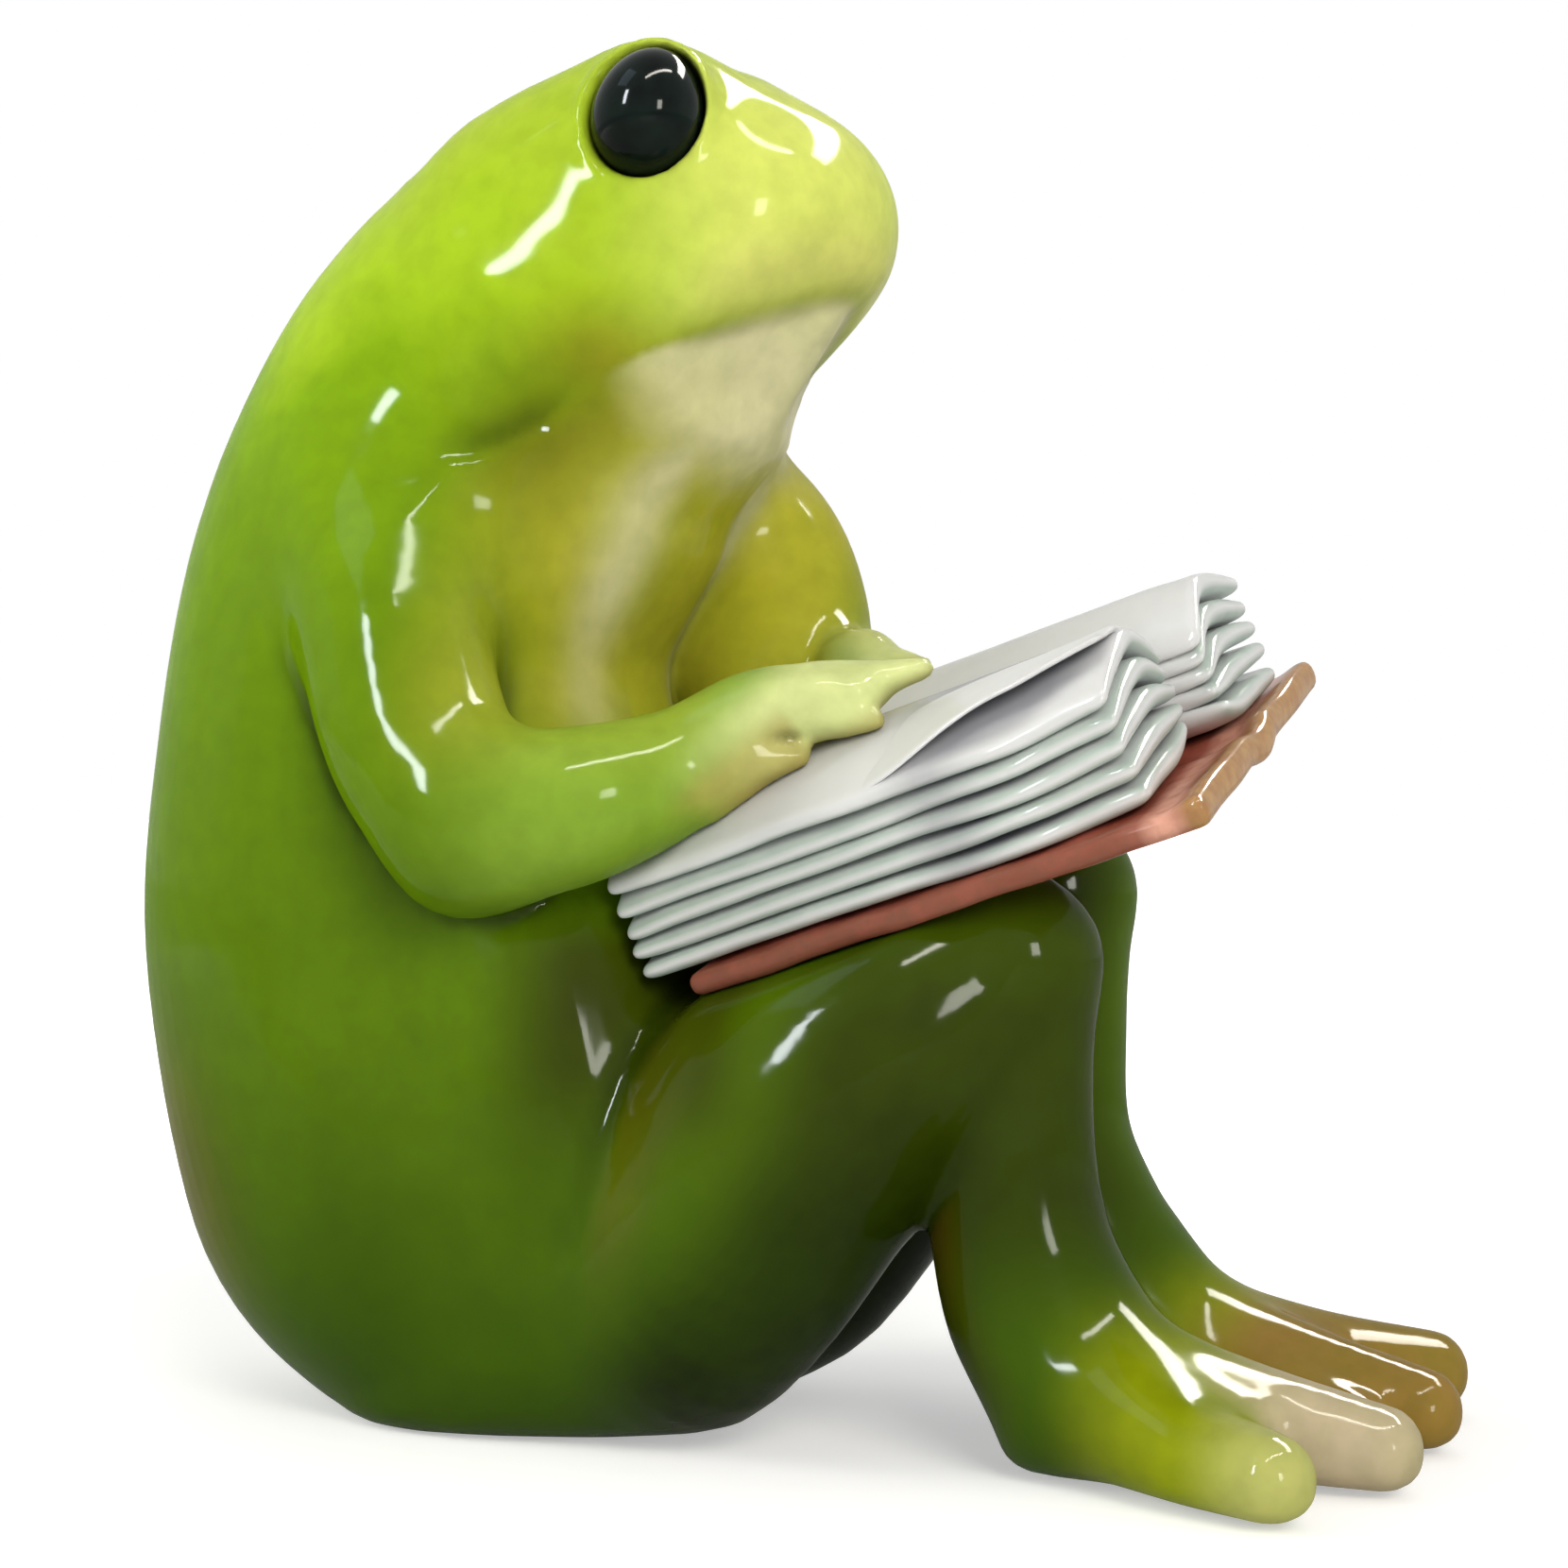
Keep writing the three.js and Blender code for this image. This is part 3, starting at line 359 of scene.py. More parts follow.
def leg(side):
    """Field of a leg: thigh, shin, instep and three toes, each given by its root, tip, arch and size."""
    knee = BOOK_MIDDLE + np.array([KNEE_FORWARD[side], side * KNEE_SPREAD, 0])
    knee[2] -= (KNEE_UNDER_COVER + (knee - BOOK_MIDDLE) @ cover_normal) / cover_normal[2]
    hip = np.array([HIP[0], side * HIP[1], HIP[2]])
    stations = []
    for share, forward, out, up, size in (
            (0, 0, 0, 0, 5.0), (0.32, 0.2, 2.4, -3.6, 5.6), (0.57, -0.5, 2.6, -1.0, 6.6),
            (0.8, -0.4, 1.6, 0.0, 5.9), (1, 0, 0, 0, 3.9)):
        spot = hip + (knee - hip) * share + np.array([forward, side * out, up])
        stations.append((*spot, size, size))
    thigh = swept(stations, sides=48)
    ankle = np.array([BOOK_MIDDLE[0] + ANKLE[0], side * ANKLE[1], ANKLE[2]])
    shin = swept([
        (*knee, 3.9), (knee[0] - 0.05, knee[1], (2 * knee[2] + ankle[2]) / 3, 3.6),
        (knee[0] + 0.25, knee[1], (knee[2] + 2 * ankle[2]) / 3, 3.6), (*ankle, 3.8),
        (ankle[0] + 1.8, ankle[1] + side * 0.5, 3.4, 3.2)])
    instep = swept([
        (ankle[0] + 1.4, ankle[1] + side * 0.2, 4.0, 3.4, 3.9),
        (ankle[0] + 5.1, ankle[1] + side * 0.5, 3.0, 3.5, 3.1),
        (ankle[0] + 8.8, ankle[1] + side * 1.0, 2.2, 3.8, 2.3)], domes=(0.5, 0.7))
    form = melt(melt(thigh, shin, KNEE_CREASE), instep, INSTEP_FILLET)
    for root, tip, arch, size in (
            ((4.6, 0.2, 3.6, 2.5), (13.97, -0.6, 1.75), 2.5, 1.85),
            ((3.0, 1.3, 3.5, 3.4), *OUTER_TOE[side], 1.85),
            ((4.6, -0.8, 3.2, 2.4), (11.6, -3.0, 1.5), 2.2, 1.45)):
        start = np.array([ankle[0] + root[0], ankle[1] + side * root[1], root[2]])
        tip = np.array([ankle[0] + tip[0], ankle[1] + side * tip[1], tip[2]])
        middle = start + (tip - start) * TOE_ARCH_AT
        middle[2] = arch
        toe = swept([(*start, root[3]), (*middle, (root[3] + size) / 2, size * 1.2), (*tip, size, size)])
        form = melt(form, toe, TOE_FILLET)
    return carve(form, -KNEE_ROOM - book_up, 0.2)


right_leg = leg(RIGHT)
left_leg = leg(LEFT)

# Skin: the castings are bonded, the bond lines are filled and sanded, and paint and lacquer go over
# everything. So one skin is taken from the field of the whole figure, and it is then cut apart along
# the bond lines into the five castings, each closed where it meets its neighbour.
ARM_FILLET = 0.8
SEAT_ROUNDING = 1.2
SMOOTHING = (0.5, -0.52)
SMOOTHING_ROUNDS = 3
SNOUT_PASSES = 110
SOCKET_PASSES = 6
STRONG_PULL = 0.9
figure = melt(body, right_arm, ARM_FILLET + 2.2 * ease(Z, 30, 39))
figure = melt(figure, left_arm, ARM_FILLET + 2.0 * ease(Z, 36, 43))
hip_fillet = 0.6 + (1.2 + 1.2 * ease(-Z, -16, -7)) * ease(-X, -20, -13)
figure = melt(figure, right_leg, hip_fillet)
figure = melt(figure, left_leg, hip_fillet)
figure = carve(figure, Z, SEAT_ROUNDING)

level = openvdb.FloatGrid(BAND * GRAIN)
level.copyFromArray(np.ascontiguousarray(np.clip(figure, -BAND * GRAIN, BAND * GRAIN)))
level.transform = openvdb.createLinearTransform(voxelSize=GRAIN)
spots, _, quads = level.convertToPolygons()
spots = spots.astype(float) + grid_low
quads = quads.astype(int)
near = np.concatenate([quads[:, k] for k in range(4)])
far = np.concatenate([quads[:, (k + 1) % 4] for k in range(4)])
links = np.bincount(np.append(near, far), minlength=len(spots))[:, None]


def relaxed(points, pull):
    """Points drawn towards the middle of their neighbours."""
    total = [np.bincount(near, axis[far], len(points)) + np.bincount(far, axis[near], len(points))
             for axis in points.T]
    total = np.stack(total, 1)
    return points + pull * (total / links - points)


def read(field, at):
    """Values of a field at points between the grid's own."""
    place = np.clip((at - grid_low) / GRAIN, 0, np.array(field.shape) - 1.001)
    cell = place.astype(int)
    part = place - cell
    total = 0
    for corner in np.ndindex(2, 2, 2):
        total = total + np.prod(np.where(corner, part, 1 - part), 1) * field[tuple((cell + corner).T)]
    return total


def from_eye(at):
    """Distance of points from the nearer eye bead."""
    return np.minimum(*(read(egg(side, 0), at) for side in (RIGHT, LEFT)))


for pull in SMOOTHING * SMOOTHING_ROUNDS:
    spots = relaxed(spots, pull)
x, y, z = spots.T
to_eye = from_eye(spots)
snout = ease(x, 12.0, 14.0) * ease(over_mouth(x, z), 0.8, 2.4) * ease(to_eye, 0.5, 1.3)
socket = ease(-to_eye, -0.8, -0.4)
for smoothed, passes in ((snout, SNOUT_PASSES), (socket, SOCKET_PASSES)):
    for _ in range(passes):
        spots = spots + smoothed[:, None] * (relaxed(spots, STRONG_PULL) - spots)
corners = spots[quads]
facing = np.cross(corners[:, 2] - corners[:, 0], corners[:, 3] - corners[:, 1])
normals = np.stack([np.bincount(quads.ravel(), np.repeat(axis, 4), len(spots)) for axis in facing.T], 1)
normals /= np.linalg.norm(normals, axis=1)[:, None]


# Paint: airbrushed from dark olive below to yellow-green above, with cream on throat and chest, lime on the
# snout, tan on the toes and a thin dark wash run into the creases that also paints their shade. Painted
# shade darkens the neck dent, the lap and legs under the book and the undersides too, and the chest cream
# is partly a painted highlight.
# Each mask is how fully a coat covers: a product of ramps, from the place in millimetres where it starts to
# where it is full.
WASH_PASSES = 36
x, y, z = spots.T
soft = spots
for _ in range(WASH_PASSES):
    soft = relaxed(soft, STRONG_PULL)
# How deep each point lies in a crease; it sets the dark wash and the painted shade there.
hollow = ((soft - spots) * normals).sum(1)
from_mouth = over_mouth(x, z)
on_trunk = ease(-x, -15, -12)
front = ease(-from_mouth, -0.4, 1.6) * ease(x, 0.5, 6.5) * ease(z, 27, 33) * on_trunk
on_arm = ease(-read(right_arm, spots), -1.0, 0.0)
off_left = 1 - ease(-read(left_arm, spots), -1.0, 0.0)
off_arms = (1 - on_arm) * off_left
# The chest band is cream paint that also stands in for a painted highlight on the chest.
chest = (np.exp(-((np.abs(y) - 4.8) / 1.4) ** 2) * ease(z, 29, 33) * ease(-z, -46, -42)
         * ease(x, 4, 7) * on_trunk * off_arms)
throat_patch = ease(-from_mouth, -0.15, 0.25) * ease(x, 8.0, 11.5) * ease(z, 40, 43.5) * off_left
over_page = read(np.maximum(pages, PAGE_BOTTOM - book_up), spots)
hand_along, hand_across, _ = ((spots - BOOK_MIDDLE) @ book_turn).T
in_mouth = np.exp(-(from_mouth / 0.8) ** 2) * ease(x, 9, 11)
low = ease(-z, -7.5, -4.5)
paint_masks = {
    "lime": 0.95 * ease(x, 7.5, 15.5) * ease(from_mouth, -1.2, 0.8) * ease(z, 43.5, 47),
    "olive": np.maximum(0.9 * front, 0.8 * ease(-y, -12, -6) * ease(y, 3, 6) * ease(z, 31, 36)
                        * ease(x, 3, 8) * ease(-z, -47, -43)),
    "corner": 0.75 * (np.exp(-(x - 8.6) ** 2 / 9 - (z - 46.0) ** 2 / 5) * ease(np.abs(y), 5, 7)),
    # A darker olive in the neck dent under the jaw, deepened as painted shade.
    "neck": 0.85 * np.exp(-((x - 6) / 4) ** 2 - ((z - 42.5) / 3) ** 2) * ease(np.abs(y), 6, 9) * off_left,
    "mouth": 0.3 * np.exp(-(from_mouth / 0.28) ** 2) * ease(x, 9, 11.5),
    "lip": 0.5 * np.exp(-((from_mouth - 1.0) / 1.3) ** 2) * ease(x, 10.5, 15),
    "cream": np.maximum(0.95 * throat_patch, 0.85 * chest),
    "arm": 0.6 * on_arm * ease(x, 2, 9),
    "hand": 0.85 * ease(hand_along, -9.5, -4) * ease(-over_page, -5.0, -3.5) * ease(z, 26, 28),
    "tan_finger": (0.6 * ease(hand_along, -10, -8) * ease(-hand_along, 4.0, 4.6)
                   * ease(-hand_across, 5.6, 6.6) * ease(-over_page, -3.5, -2.0) * ease(z, 26, 28)),
    # Painted shadow that the forearm and the book cast on the lap.
    "lap": 0.8 * ease(x, 3, 8) * ease(-x, -18, -14) * ease(z, 11, 17) * ease(-z, -24, -21),
    # Painted shade on the legs under the book, heavier on the right leg than on the left.
    "leg": (0.9 - 0.65 * ease(y, 1, 5)) * ease(x, 14, 21) * ease(z, 5, 12) * ease(-z, -27, -24),
    "instep": ease(x, 27, 33) * ease(-z, -9, -5),
    "outer_toe": 0.8 * ease(x, 33.5, 38) * ease(-y, 7.5, 10.5) * low,
    "cream_toe": ease(x, 32.0, 37) * ease(y, -9.4, -6.6) * ease(-y, 0.0, 1.6) * low,
    "brown_toe": 0.85 * ease(x, 29.5, 34) * ease(y, -1.4, 0.4) * low,
    "page_edge": 0.8 * (1 - ease(over_page, 0.2, 1.5)) * ease(z, 26, 28),
    "rust": 0.5 * ease(-normals[:, 0], 0.2, 0.8) * np.exp(-((z - 11) / 6) ** 2),
    # Painted shade on the surfaces of the haunches and thighs that face downwards.
    "under": (0.92 * ease(-normals[:, 2], -0.15, 0.6) * ease(-z, -20, -9) * ease(x, 6, 13)
              * ease(-x, -27, -22)),
    # Dark wash and painted shade in the creases, lighter on the throat and at the mouth.
    "hollow": (0.85 * ease(hollow, 0.03, 0.3) * (1 - 0.75 * np.maximum(front, throat_patch))
               * (1 - 0.6 * in_mouth)),
    "rim": ease(-from_eye(spots), -0.22, -0.08) * ease(x, 6, 7),
}


def to_linear(code):
    """Linear colour from an sRGB hex value."""
    parts = [int(code[k:k + 2], 16) / 255 for k in (1, 3, 5)]
    return [p / 12.92 if p <= 0.04045 else ((p + 0.055) / 1.055) ** 2.4 for p in parts] + [1.0]


def node(tree, kind, settings=None, out=None, **inputs):
    """Adds a node, sets its properties, sets or links its inputs and gives back one output."""
    made = tree.nodes.new(kind)
    for name, value in (settings or {}).items():
        setattr(made, name, value)
    live = [s for s in made.inputs if s.enabled]
    for name, value in inputs.items():
        wanted = name.replace("_", " ")
        socket = live[int(name[1:])] if name[0] == "_" else next(s for s in live if s.name == wanted)
        for one in value if isinstance(value, list) else [value]:
            if isinstance(one, bpy.types.NodeSocket):
                tree.links.new(one, socket)
            elif isinstance(one, str) and one.startswith("#"):
                socket.default_value = to_linear(one)
            else:
                socket.default_value = one
    shown = [s for s in made.outputs if s.enabled]
    return next((s for s in shown if s.name == out), shown[0] if shown else None)


def new_material(name):
    """An empty material and its node tree."""
    material = bpy.data.materials.new(name)
    material.use_nodes = True
    material.node_tree.nodes.clear()
    return material, material.node_tree


PAINT_BY_HEIGHT = [(0.0, "#324c04"), (0.1, "#3a5602"), (0.2, "#456203"), (0.36, "#567607"),
                   (0.6, "#678b06"), (0.74, "#7ca40a"), (0.84, "#9fc21e"), (0.95, "#a6bf32")]
# Among these coats the lap, the legs, the undersides, the neck dent and the creases carry painted shade,
# and the cream band on the chest is partly a painted highlight.
PAINT_COATS = [("lime", "#d2dd6a"), ("olive", "#b0aa30"), ("corner", "#8c861a"), ("neck", "#5f6404"),
               ("lip", "#c8c472"), ("cream", "#d4d0a2"), ("mouth", "#7d7a20"), ("arm", "#92b640"),
               ("hand", "#dfe6a2"), ("tan_finger", "#a58e48"), ("lap", "#2c2b04"), ("leg", "#272c03"),
               ("instep", "#8c980c"), ("outer_toe", "#bcbc74"), ("cream_toe", "#bfb092"),
               ("brown_toe", "#92693c"), ("page_edge", "#9a8a44"), ("rust", "#6b4a12"),
               ("under", "#1a2602"), ("hollow", "#232f02"), ("rim", "#1c2206")]
BRUSH_CLOUD = 9.0
PIGMENT_SPECK = 1.2
LACQUER_RIPPLE = 3.5

# Airbrushed acrylic on cast resin: soft clouds of colour, fine specks of pigment, and over them a
# thick clear lacquer whose slow ripples break the edges of the highlights.
painted_resin, tree = new_material("airbrushed resin under gloss lacquer")
place = node(tree, "ShaderNodeTexCoord", out="Object")
height = node(tree, "ShaderNodeSeparateXYZ", out="Z", Vector=place)
cloud = node(tree, "ShaderNodeTexNoise", Vector=place, Scale=1 / (BRUSH_CLOUD * MM), Detail=3.0,
             Roughness=0.55)
drift = node(tree, "ShaderNodeMapRange", Value=cloud, To_Min=-8 * MM, To_Max=8 * MM)
height = node(tree, "ShaderNodeMath", {"operation": "ADD"}, _0=height, _1=drift)
share = node(tree, "ShaderNodeMapRange", Value=height, From_Min=0.0, From_Max=60 * MM)
colour = node(tree, "ShaderNodeValToRGB", Fac=share)
ramp = colour.node.color_ramp
while len(ramp.elements) < len(PAINT_BY_HEIGHT):
    ramp.elements.new(0.5)
for element, (at, code) in zip(ramp.elements, PAINT_BY_HEIGHT):
    element.position = at
    element.color = to_linear(code)
uneven = node(tree, "ShaderNodeMapRange", Value=cloud, From_Min=0.3, From_Max=0.7, To_Min=0.75, To_Max=1.15)
for name, code in PAINT_COATS:
    share = node(tree, "ShaderNodeAttribute", {"attribute_name": name}, out="Fac")
    share = node(tree, "ShaderNodeMath", {"operation": "MULTIPLY", "use_clamp": True}, _0=share, _1=uneven)
    colour = node(tree, "ShaderNodeMix", {"data_type": "RGBA"}, Factor=share, A=colour, B=code)
speck = node(tree, "ShaderNodeTexNoise", Vector=place, Scale=1 / (PIGMENT_SPECK * MM), Detail=4.0)
speck = node(tree, "ShaderNodeMapRange", Value=speck, From_Min=0.35, From_Max=0.7, To_Max=0.14)
colour = node(tree, "ShaderNodeMix", {"data_type": "RGBA"}, Factor=speck, A=colour, B="#33450a")
ripple = node(tree, "ShaderNodeTexNoise", Vector=place, Scale=1 / (LACQUER_RIPPLE * MM), Detail=2.0)
ripple = node(tree, "ShaderNodeBump", Strength=0.12, Distance=0.3 * MM, Height=ripple)
skin = node(tree, "ShaderNodeBsdfPrincipled", Base_Color=colour, Roughness=0.5, Specular_IOR_Level=0.0,
            Coat_Weight=0.25, Coat_Roughness=0.1, Coat_IOR=1.36, Coat_Normal=ripple)
node(tree, "ShaderNodeOutputMaterial", Surface=skin)

castings = {"body_casting": body, "right_arm": right_arm, "left_arm": left_arm,
            "right_leg": right_leg, "left_leg": left_leg}
middles = spots[quads].mean(1)
owner = np.argmin([read(field, middles) for field in castings.values()], 0)
for number, name in enumerate(castings):
    used, faces = np.unique(quads[owner == number], return_inverse=True)
    mesh = bpy.data.meshes.new(name + "_skin")
    mesh.from_pydata(spots[used] * MM, [], faces.reshape(-1, 4).tolist())
    edit = bmesh.new()
    edit.from_mesh(mesh)
    caps = bmesh.ops.holes_fill(edit, edges=[e for e in edit.edges if e.is_boundary])["faces"]
    bmesh.ops.poke(edit, faces=caps)
    bmesh.ops.recalc_face_normals(edit, faces=edit.faces)
    edit.to_mesh(mesh)
    edit.free()
    mesh.shade_smooth()
    extra = len(mesh.vertices) - len(used)
    for mask, values in paint_masks.items():
        attribute = mesh.attributes.new(mask, "FLOAT", "POINT")
        attribute.data.foreach_set("value", np.append(values[used], np.zeros(extra)).astype(np.float32))
    cap_normals = np.tile([0, 0, 1.0], (extra, 1))
    mesh.normals_split_custom_set_from_vertices(np.vstack([normals[used], cap_normals]))
    mesh.materials.append(painted_resin)
    piece = bpy.data.objects.new(name + "_skin", mesh)
    bpy.context.scene.collection.objects.link(piece)
    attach(piece, "root")
    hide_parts(name)

# Eyes: two egg-shaped beads of black enamel, glued into their sockets with the tops tipped forwards.
# Under the gloss the black has a faint green depth.
BEAD_RINGS = 40
BEAD_SIDES = 64
BEAD_TAPER = 0.07

bead_enamel, tree = new_material("black enamel bead, polished")
place = node(tree, "ShaderNodeTexCoord", out="Object")
depth = node(tree, "ShaderNodeTexNoise", Vector=place, Scale=1 / (2.2 * MM), Detail=2.0)
depth = node(tree, "ShaderNodeMapRange", Value=depth, From_Min=0.35, From_Max=0.65)
colour = node(tree, "ShaderNodeMix", {"data_type": "RGBA"}, Factor=depth, A="#050807", B="#0f1b17")
enamel = node(tree, "ShaderNodeBsdfPrincipled", Base_Color=colour, Roughness=0.08, IOR=1.18)
node(tree, "ShaderNodeOutputMaterial", Surface=enamel)

for name, side in (("right_eye", RIGHT), ("left_eye", LEFT)):
    points = []
    for ring in range(1, BEAD_RINGS):
        polar = math.pi * ring / BEAD_RINGS
        narrow = math.sin(polar) * (1 - BEAD_TAPER * math.cos(polar))
        for k in range(BEAD_SIDES):
            turn = 2 * math.pi * k / BEAD_SIDES
            points.append((narrow * math.cos(turn), narrow * math.sin(turn), math.cos(polar)))
    points = np.array(points + [(0, 0, 1), (0, 0, -1)]) * EYE_HALF
    points = points @ turn_about(1, EYE_LEAN).T + [EYE_AT[0], side * EYE_AT[1], EYE_AT[2]]
    top, bottom = len(points) - 2, len(points) - 1
    faces = []
    for k in range(BEAD_SIDES):
        after = (k + 1) % BEAD_SIDES
        faces.append((top, k, after))
        last = (BEAD_RINGS - 2) * BEAD_SIDES
        faces.append((bottom, last + after, last + k))
        for r in range(0, last, BEAD_SIDES):
            faces.append((r + k, r + BEAD_SIDES + k, r + BEAD_SIDES + after, r + after))
    mesh = bpy.data.meshes.new(name + "_bead")
    mesh.from_pydata(points * MM, [], faces)
    mesh.shade_smooth()
    mesh.materials.append(bead_enamel)
    piece = bpy.data.objects.new(name + "_bead", mesh)
    bpy.context.scene.collection.objects.link(piece)
    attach(piece, "root")
    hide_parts(name)

# Book cover: one cast board, opened flat over a rounded spine and painted terracotta. It is bonded to
# the knees. Its edges are rubbed brown, its thick head edge is ochre, and the margin beside that salmon.
COVER_THICK = 1.0
SPINE_HALF = 1.7
SPINE_SAG = 0.3
HEAD_ROLL = 0.45
LUMP_BELOW = 0.06
LUMP_ABOVE = 0.08


def uneven_by_hand(a, b):
    """Slow lumps of a hand-modelled surface, between about -1 and 1."""
    slow = 0.5 * np.sin(0.9 * a + 1.3 * b + 0.4) + 0.3 * np.sin(2.1 * a - 0.7 * b + 2)
    return slow + 0.2 * np.sin(3.7 * a + 2.9 * b)


def slab(name, top, bottom, attributes, material):
    """Closed, rounded slab between two grids of points in the book's own frame."""
    rows, columns = top.shape[:2]
    points = np.concatenate([bottom.reshape(-1, 3), top.reshape(-1, 3)]) @ book_turn.T + BOOK_MIDDLE
    index = np.arange(rows * columns).reshape(rows, columns)
    upper = rows * columns
    faces = []
    for i in range(rows - 1):
        for j in range(columns - 1):
            cell = [index[i, j], index[i + 1, j], index[i + 1, j + 1], index[i, j + 1]]
            faces.append([c + upper for c in cell])
            faces.append(cell[::-1])
    rim = [*index[:, 0], *index[-1, 1:], *index[-2::-1, -1], *index[0, -2:0:-1]]
    for k, here in enumerate(rim):
        after = rim[(k + 1) % len(rim)]
        faces.append([here, after, after + upper, here + upper])
    mesh = bpy.data.meshes.new(name)
    mesh.from_pydata(points * MM, [], faces)
    edit = bmesh.new()
    edit.from_mesh(mesh)
    bmesh.ops.recalc_face_normals(edit, faces=edit.faces)
    edit.to_mesh(mesh)
    edit.free()
    for attribute, values in attributes.items():
        layer = mesh.attributes.new(attribute, "FLOAT", "POINT")
        layer.data.foreach_set("value", np.tile(values.ravel(), 2).astype(np.float32))
    mesh.shade_smooth()
    mesh.materials.append(material)
    piece = bpy.data.objects.new(name, mesh)
    bpy.context.scene.collection.objects.link(piece)
    rounding = piece.modifiers.new("rounding", "SUBSURF")
    rounding.levels = rounding.render_levels = 2
    return piece


# Terracotta enamel: brushed on unevenly, with patchy wear and a fine grit under the lacquer.
cover_paint, tree = new_material("brushed terracotta enamel under lacquer")
place = node(tree, "ShaderNodeTexCoord", out="Object")
brush = node(tree, "ShaderNodeTexNoise", Vector=place, Scale=1 / (3.0 * MM), Detail=4.0, Roughness=0.6)
brush = node(tree, "ShaderNodeMapRange", Value=brush, From_Min=0.35, From_Max=0.65)
colour = node(tree, "ShaderNodeMix", {"data_type": "RGBA"}, Factor=brush, A="#82402f", B="#a5584a")
grit = node(tree, "ShaderNodeTexNoise", Vector=place, Scale=1 / (0.7 * MM), Detail=3.0)
worn = node(tree, "ShaderNodeMapRange", Value=grit, From_Min=0.3, From_Max=0.7, To_Min=-0.25, To_Max=0.35)
for name, code in (("rubbed", "#80503f"), ("head_edge", "#b08a58"), ("margin", "#d49c88")):
    share = node(tree, "ShaderNodeAttribute", {"attribute_name": name}, out="Fac")
    patchy = node(tree, "ShaderNodeMath", {"operation": "MULTIPLY_ADD", "use_clamp": True},
                  _0=share, _1=worn, _2=share)
    colour = node(tree, "ShaderNodeMix", {"data_type": "RGBA"}, Factor=patchy, A=colour, B=code)
relief = node(tree, "ShaderNodeBump", Strength=0.35, Distance=0.12 * MM, Height=grit)
enamel = node(tree, "ShaderNodeBsdfPrincipled", Base_Color=colour, Roughness=0.5, Specular_IOR_Level=0.0,
              Normal=relief, Coat_Weight=0.5, Coat_Roughness=0.12, Coat_IOR=1.36)
node(tree, "ShaderNodeOutputMaterial", Surface=enamel)

across = np.concatenate([np.linspace(-COVER_ACROSS, -SPINE_HALF, 13), np.linspace(-1.2, 1.2, 5),
                         np.linspace(SPINE_HALF, COVER_ACROSS, 13)])
along = np.linspace(-COVER_ALONG, COVER_ALONG, 33)
a, b = np.meshgrid(along, across, indexing="ij")
lump = uneven_by_hand(a, b) * (1 - 0.7 * ease(a, 8.5, 10.5))
sag = -SPINE_SAG * np.clip(1 - (b / SPINE_HALF) ** 2, 0, 1)
roll = HEAD_ROLL * ease(a, 10.2, 11.6) * (0.9 + 0.1 * np.sin(0.9 * b + 0.6))
edge_a = a * (1 + 0.003 * np.sin(1.1 * b + 0.7))
edge_b = b * (1 + 0.008 * np.sin(0.8 * a + 1.9))
bottom = np.stack([edge_a, edge_b, sag + LUMP_BELOW * lump], 2)
top = np.stack([edge_a, edge_b, sag + COVER_THICK + roll + LUMP_ABOVE * lump], 2)
at_edge = np.maximum(ease(np.abs(b), 9.0, COVER_ACROSS), ease(np.abs(a), 10.6, COVER_ALONG))
cover = slab("book_cover_board", top, bottom, {
    "rubbed": 0.75 * at_edge, "head_edge": 0.8 * ease(a, 10.4, 11.7),
    "margin": 0.85 * ease(a, 8.8, 9.6) * ease(-a, -11.2, -10.4)}, cover_paint)
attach(cover, "root")
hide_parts("book_cover")

# Page blocks: two cast stacks of five thick leaves bonded to the cover, wavy at the fore-edge and
# drawn together at the gutter, painted white with a grey-green wash run into the grooves that also paints
# their shade.
LEAVES = 5
LEAF_CELLS_ALONG = 28
LEAF_CELLS_ACROSS = 11
GUTTER_RISE = 1.1
HEAD_SWEEP = 1.2
HEAD_BEYOND = {RIGHT: -0.6, LEFT: 0.9}
LEAF_REACH = 9.45


def leaf_reach(along):
    """How far from the spine the lifted top leaf reaches: its free edge sweeps inwards to the head."""
    return LEAF_REACH - 1.4 * ease(along, -0.5, 5.5) - 2.2 * ease(along, 5.0, 10.5)


# White enamel: nearly clean on the leaves, greyer in thin washes that also paint the shade in the grooves,
# with the lifted leaf's shadow painted on in grey, and glossy under the lacquer.
page_paint, tree = new_material("white enamel with grey-green wash under lacquer")
place = node(tree, "ShaderNodeTexCoord", out="Object")
stain = node(tree, "ShaderNodeTexNoise", Vector=place, Scale=1 / (4.5 * MM), Detail=4.0, Roughness=0.6)
stain = node(tree, "ShaderNodeMapRange", Value=stain, From_Min=0.4, From_Max=0.7, To_Max=0.35)
colour = node(tree, "ShaderNodeMix", {"data_type": "RGBA"}, Factor=stain, A="#d6d7d9", B="#c8caca")
layer = node(tree, "ShaderNodeAttribute", {"attribute_name": "layer"}, out="Fac")
edge = node(tree, "ShaderNodeAttribute", {"attribute_name": "edge"}, out="Fac")
cap = node(tree, "ShaderNodeAttribute", {"attribute_name": "cap"}, out="Fac")
from_ridge = node(tree, "ShaderNodeMath", {"operation": "MULTIPLY_ADD"}, _0=layer, _1=2.0, _2=-1.0)
from_ridge = node(tree, "ShaderNodeMath", {"operation": "ABSOLUTE"}, _0=from_ridge)
covered = node(tree, "ShaderNodeMath", {"operation": "MULTIPLY"}, _0=cap, _1=layer)
covered = node(tree, "ShaderNodeMath", {"operation": "SUBTRACT", "use_clamp": True}, _0=edge, _1=covered)
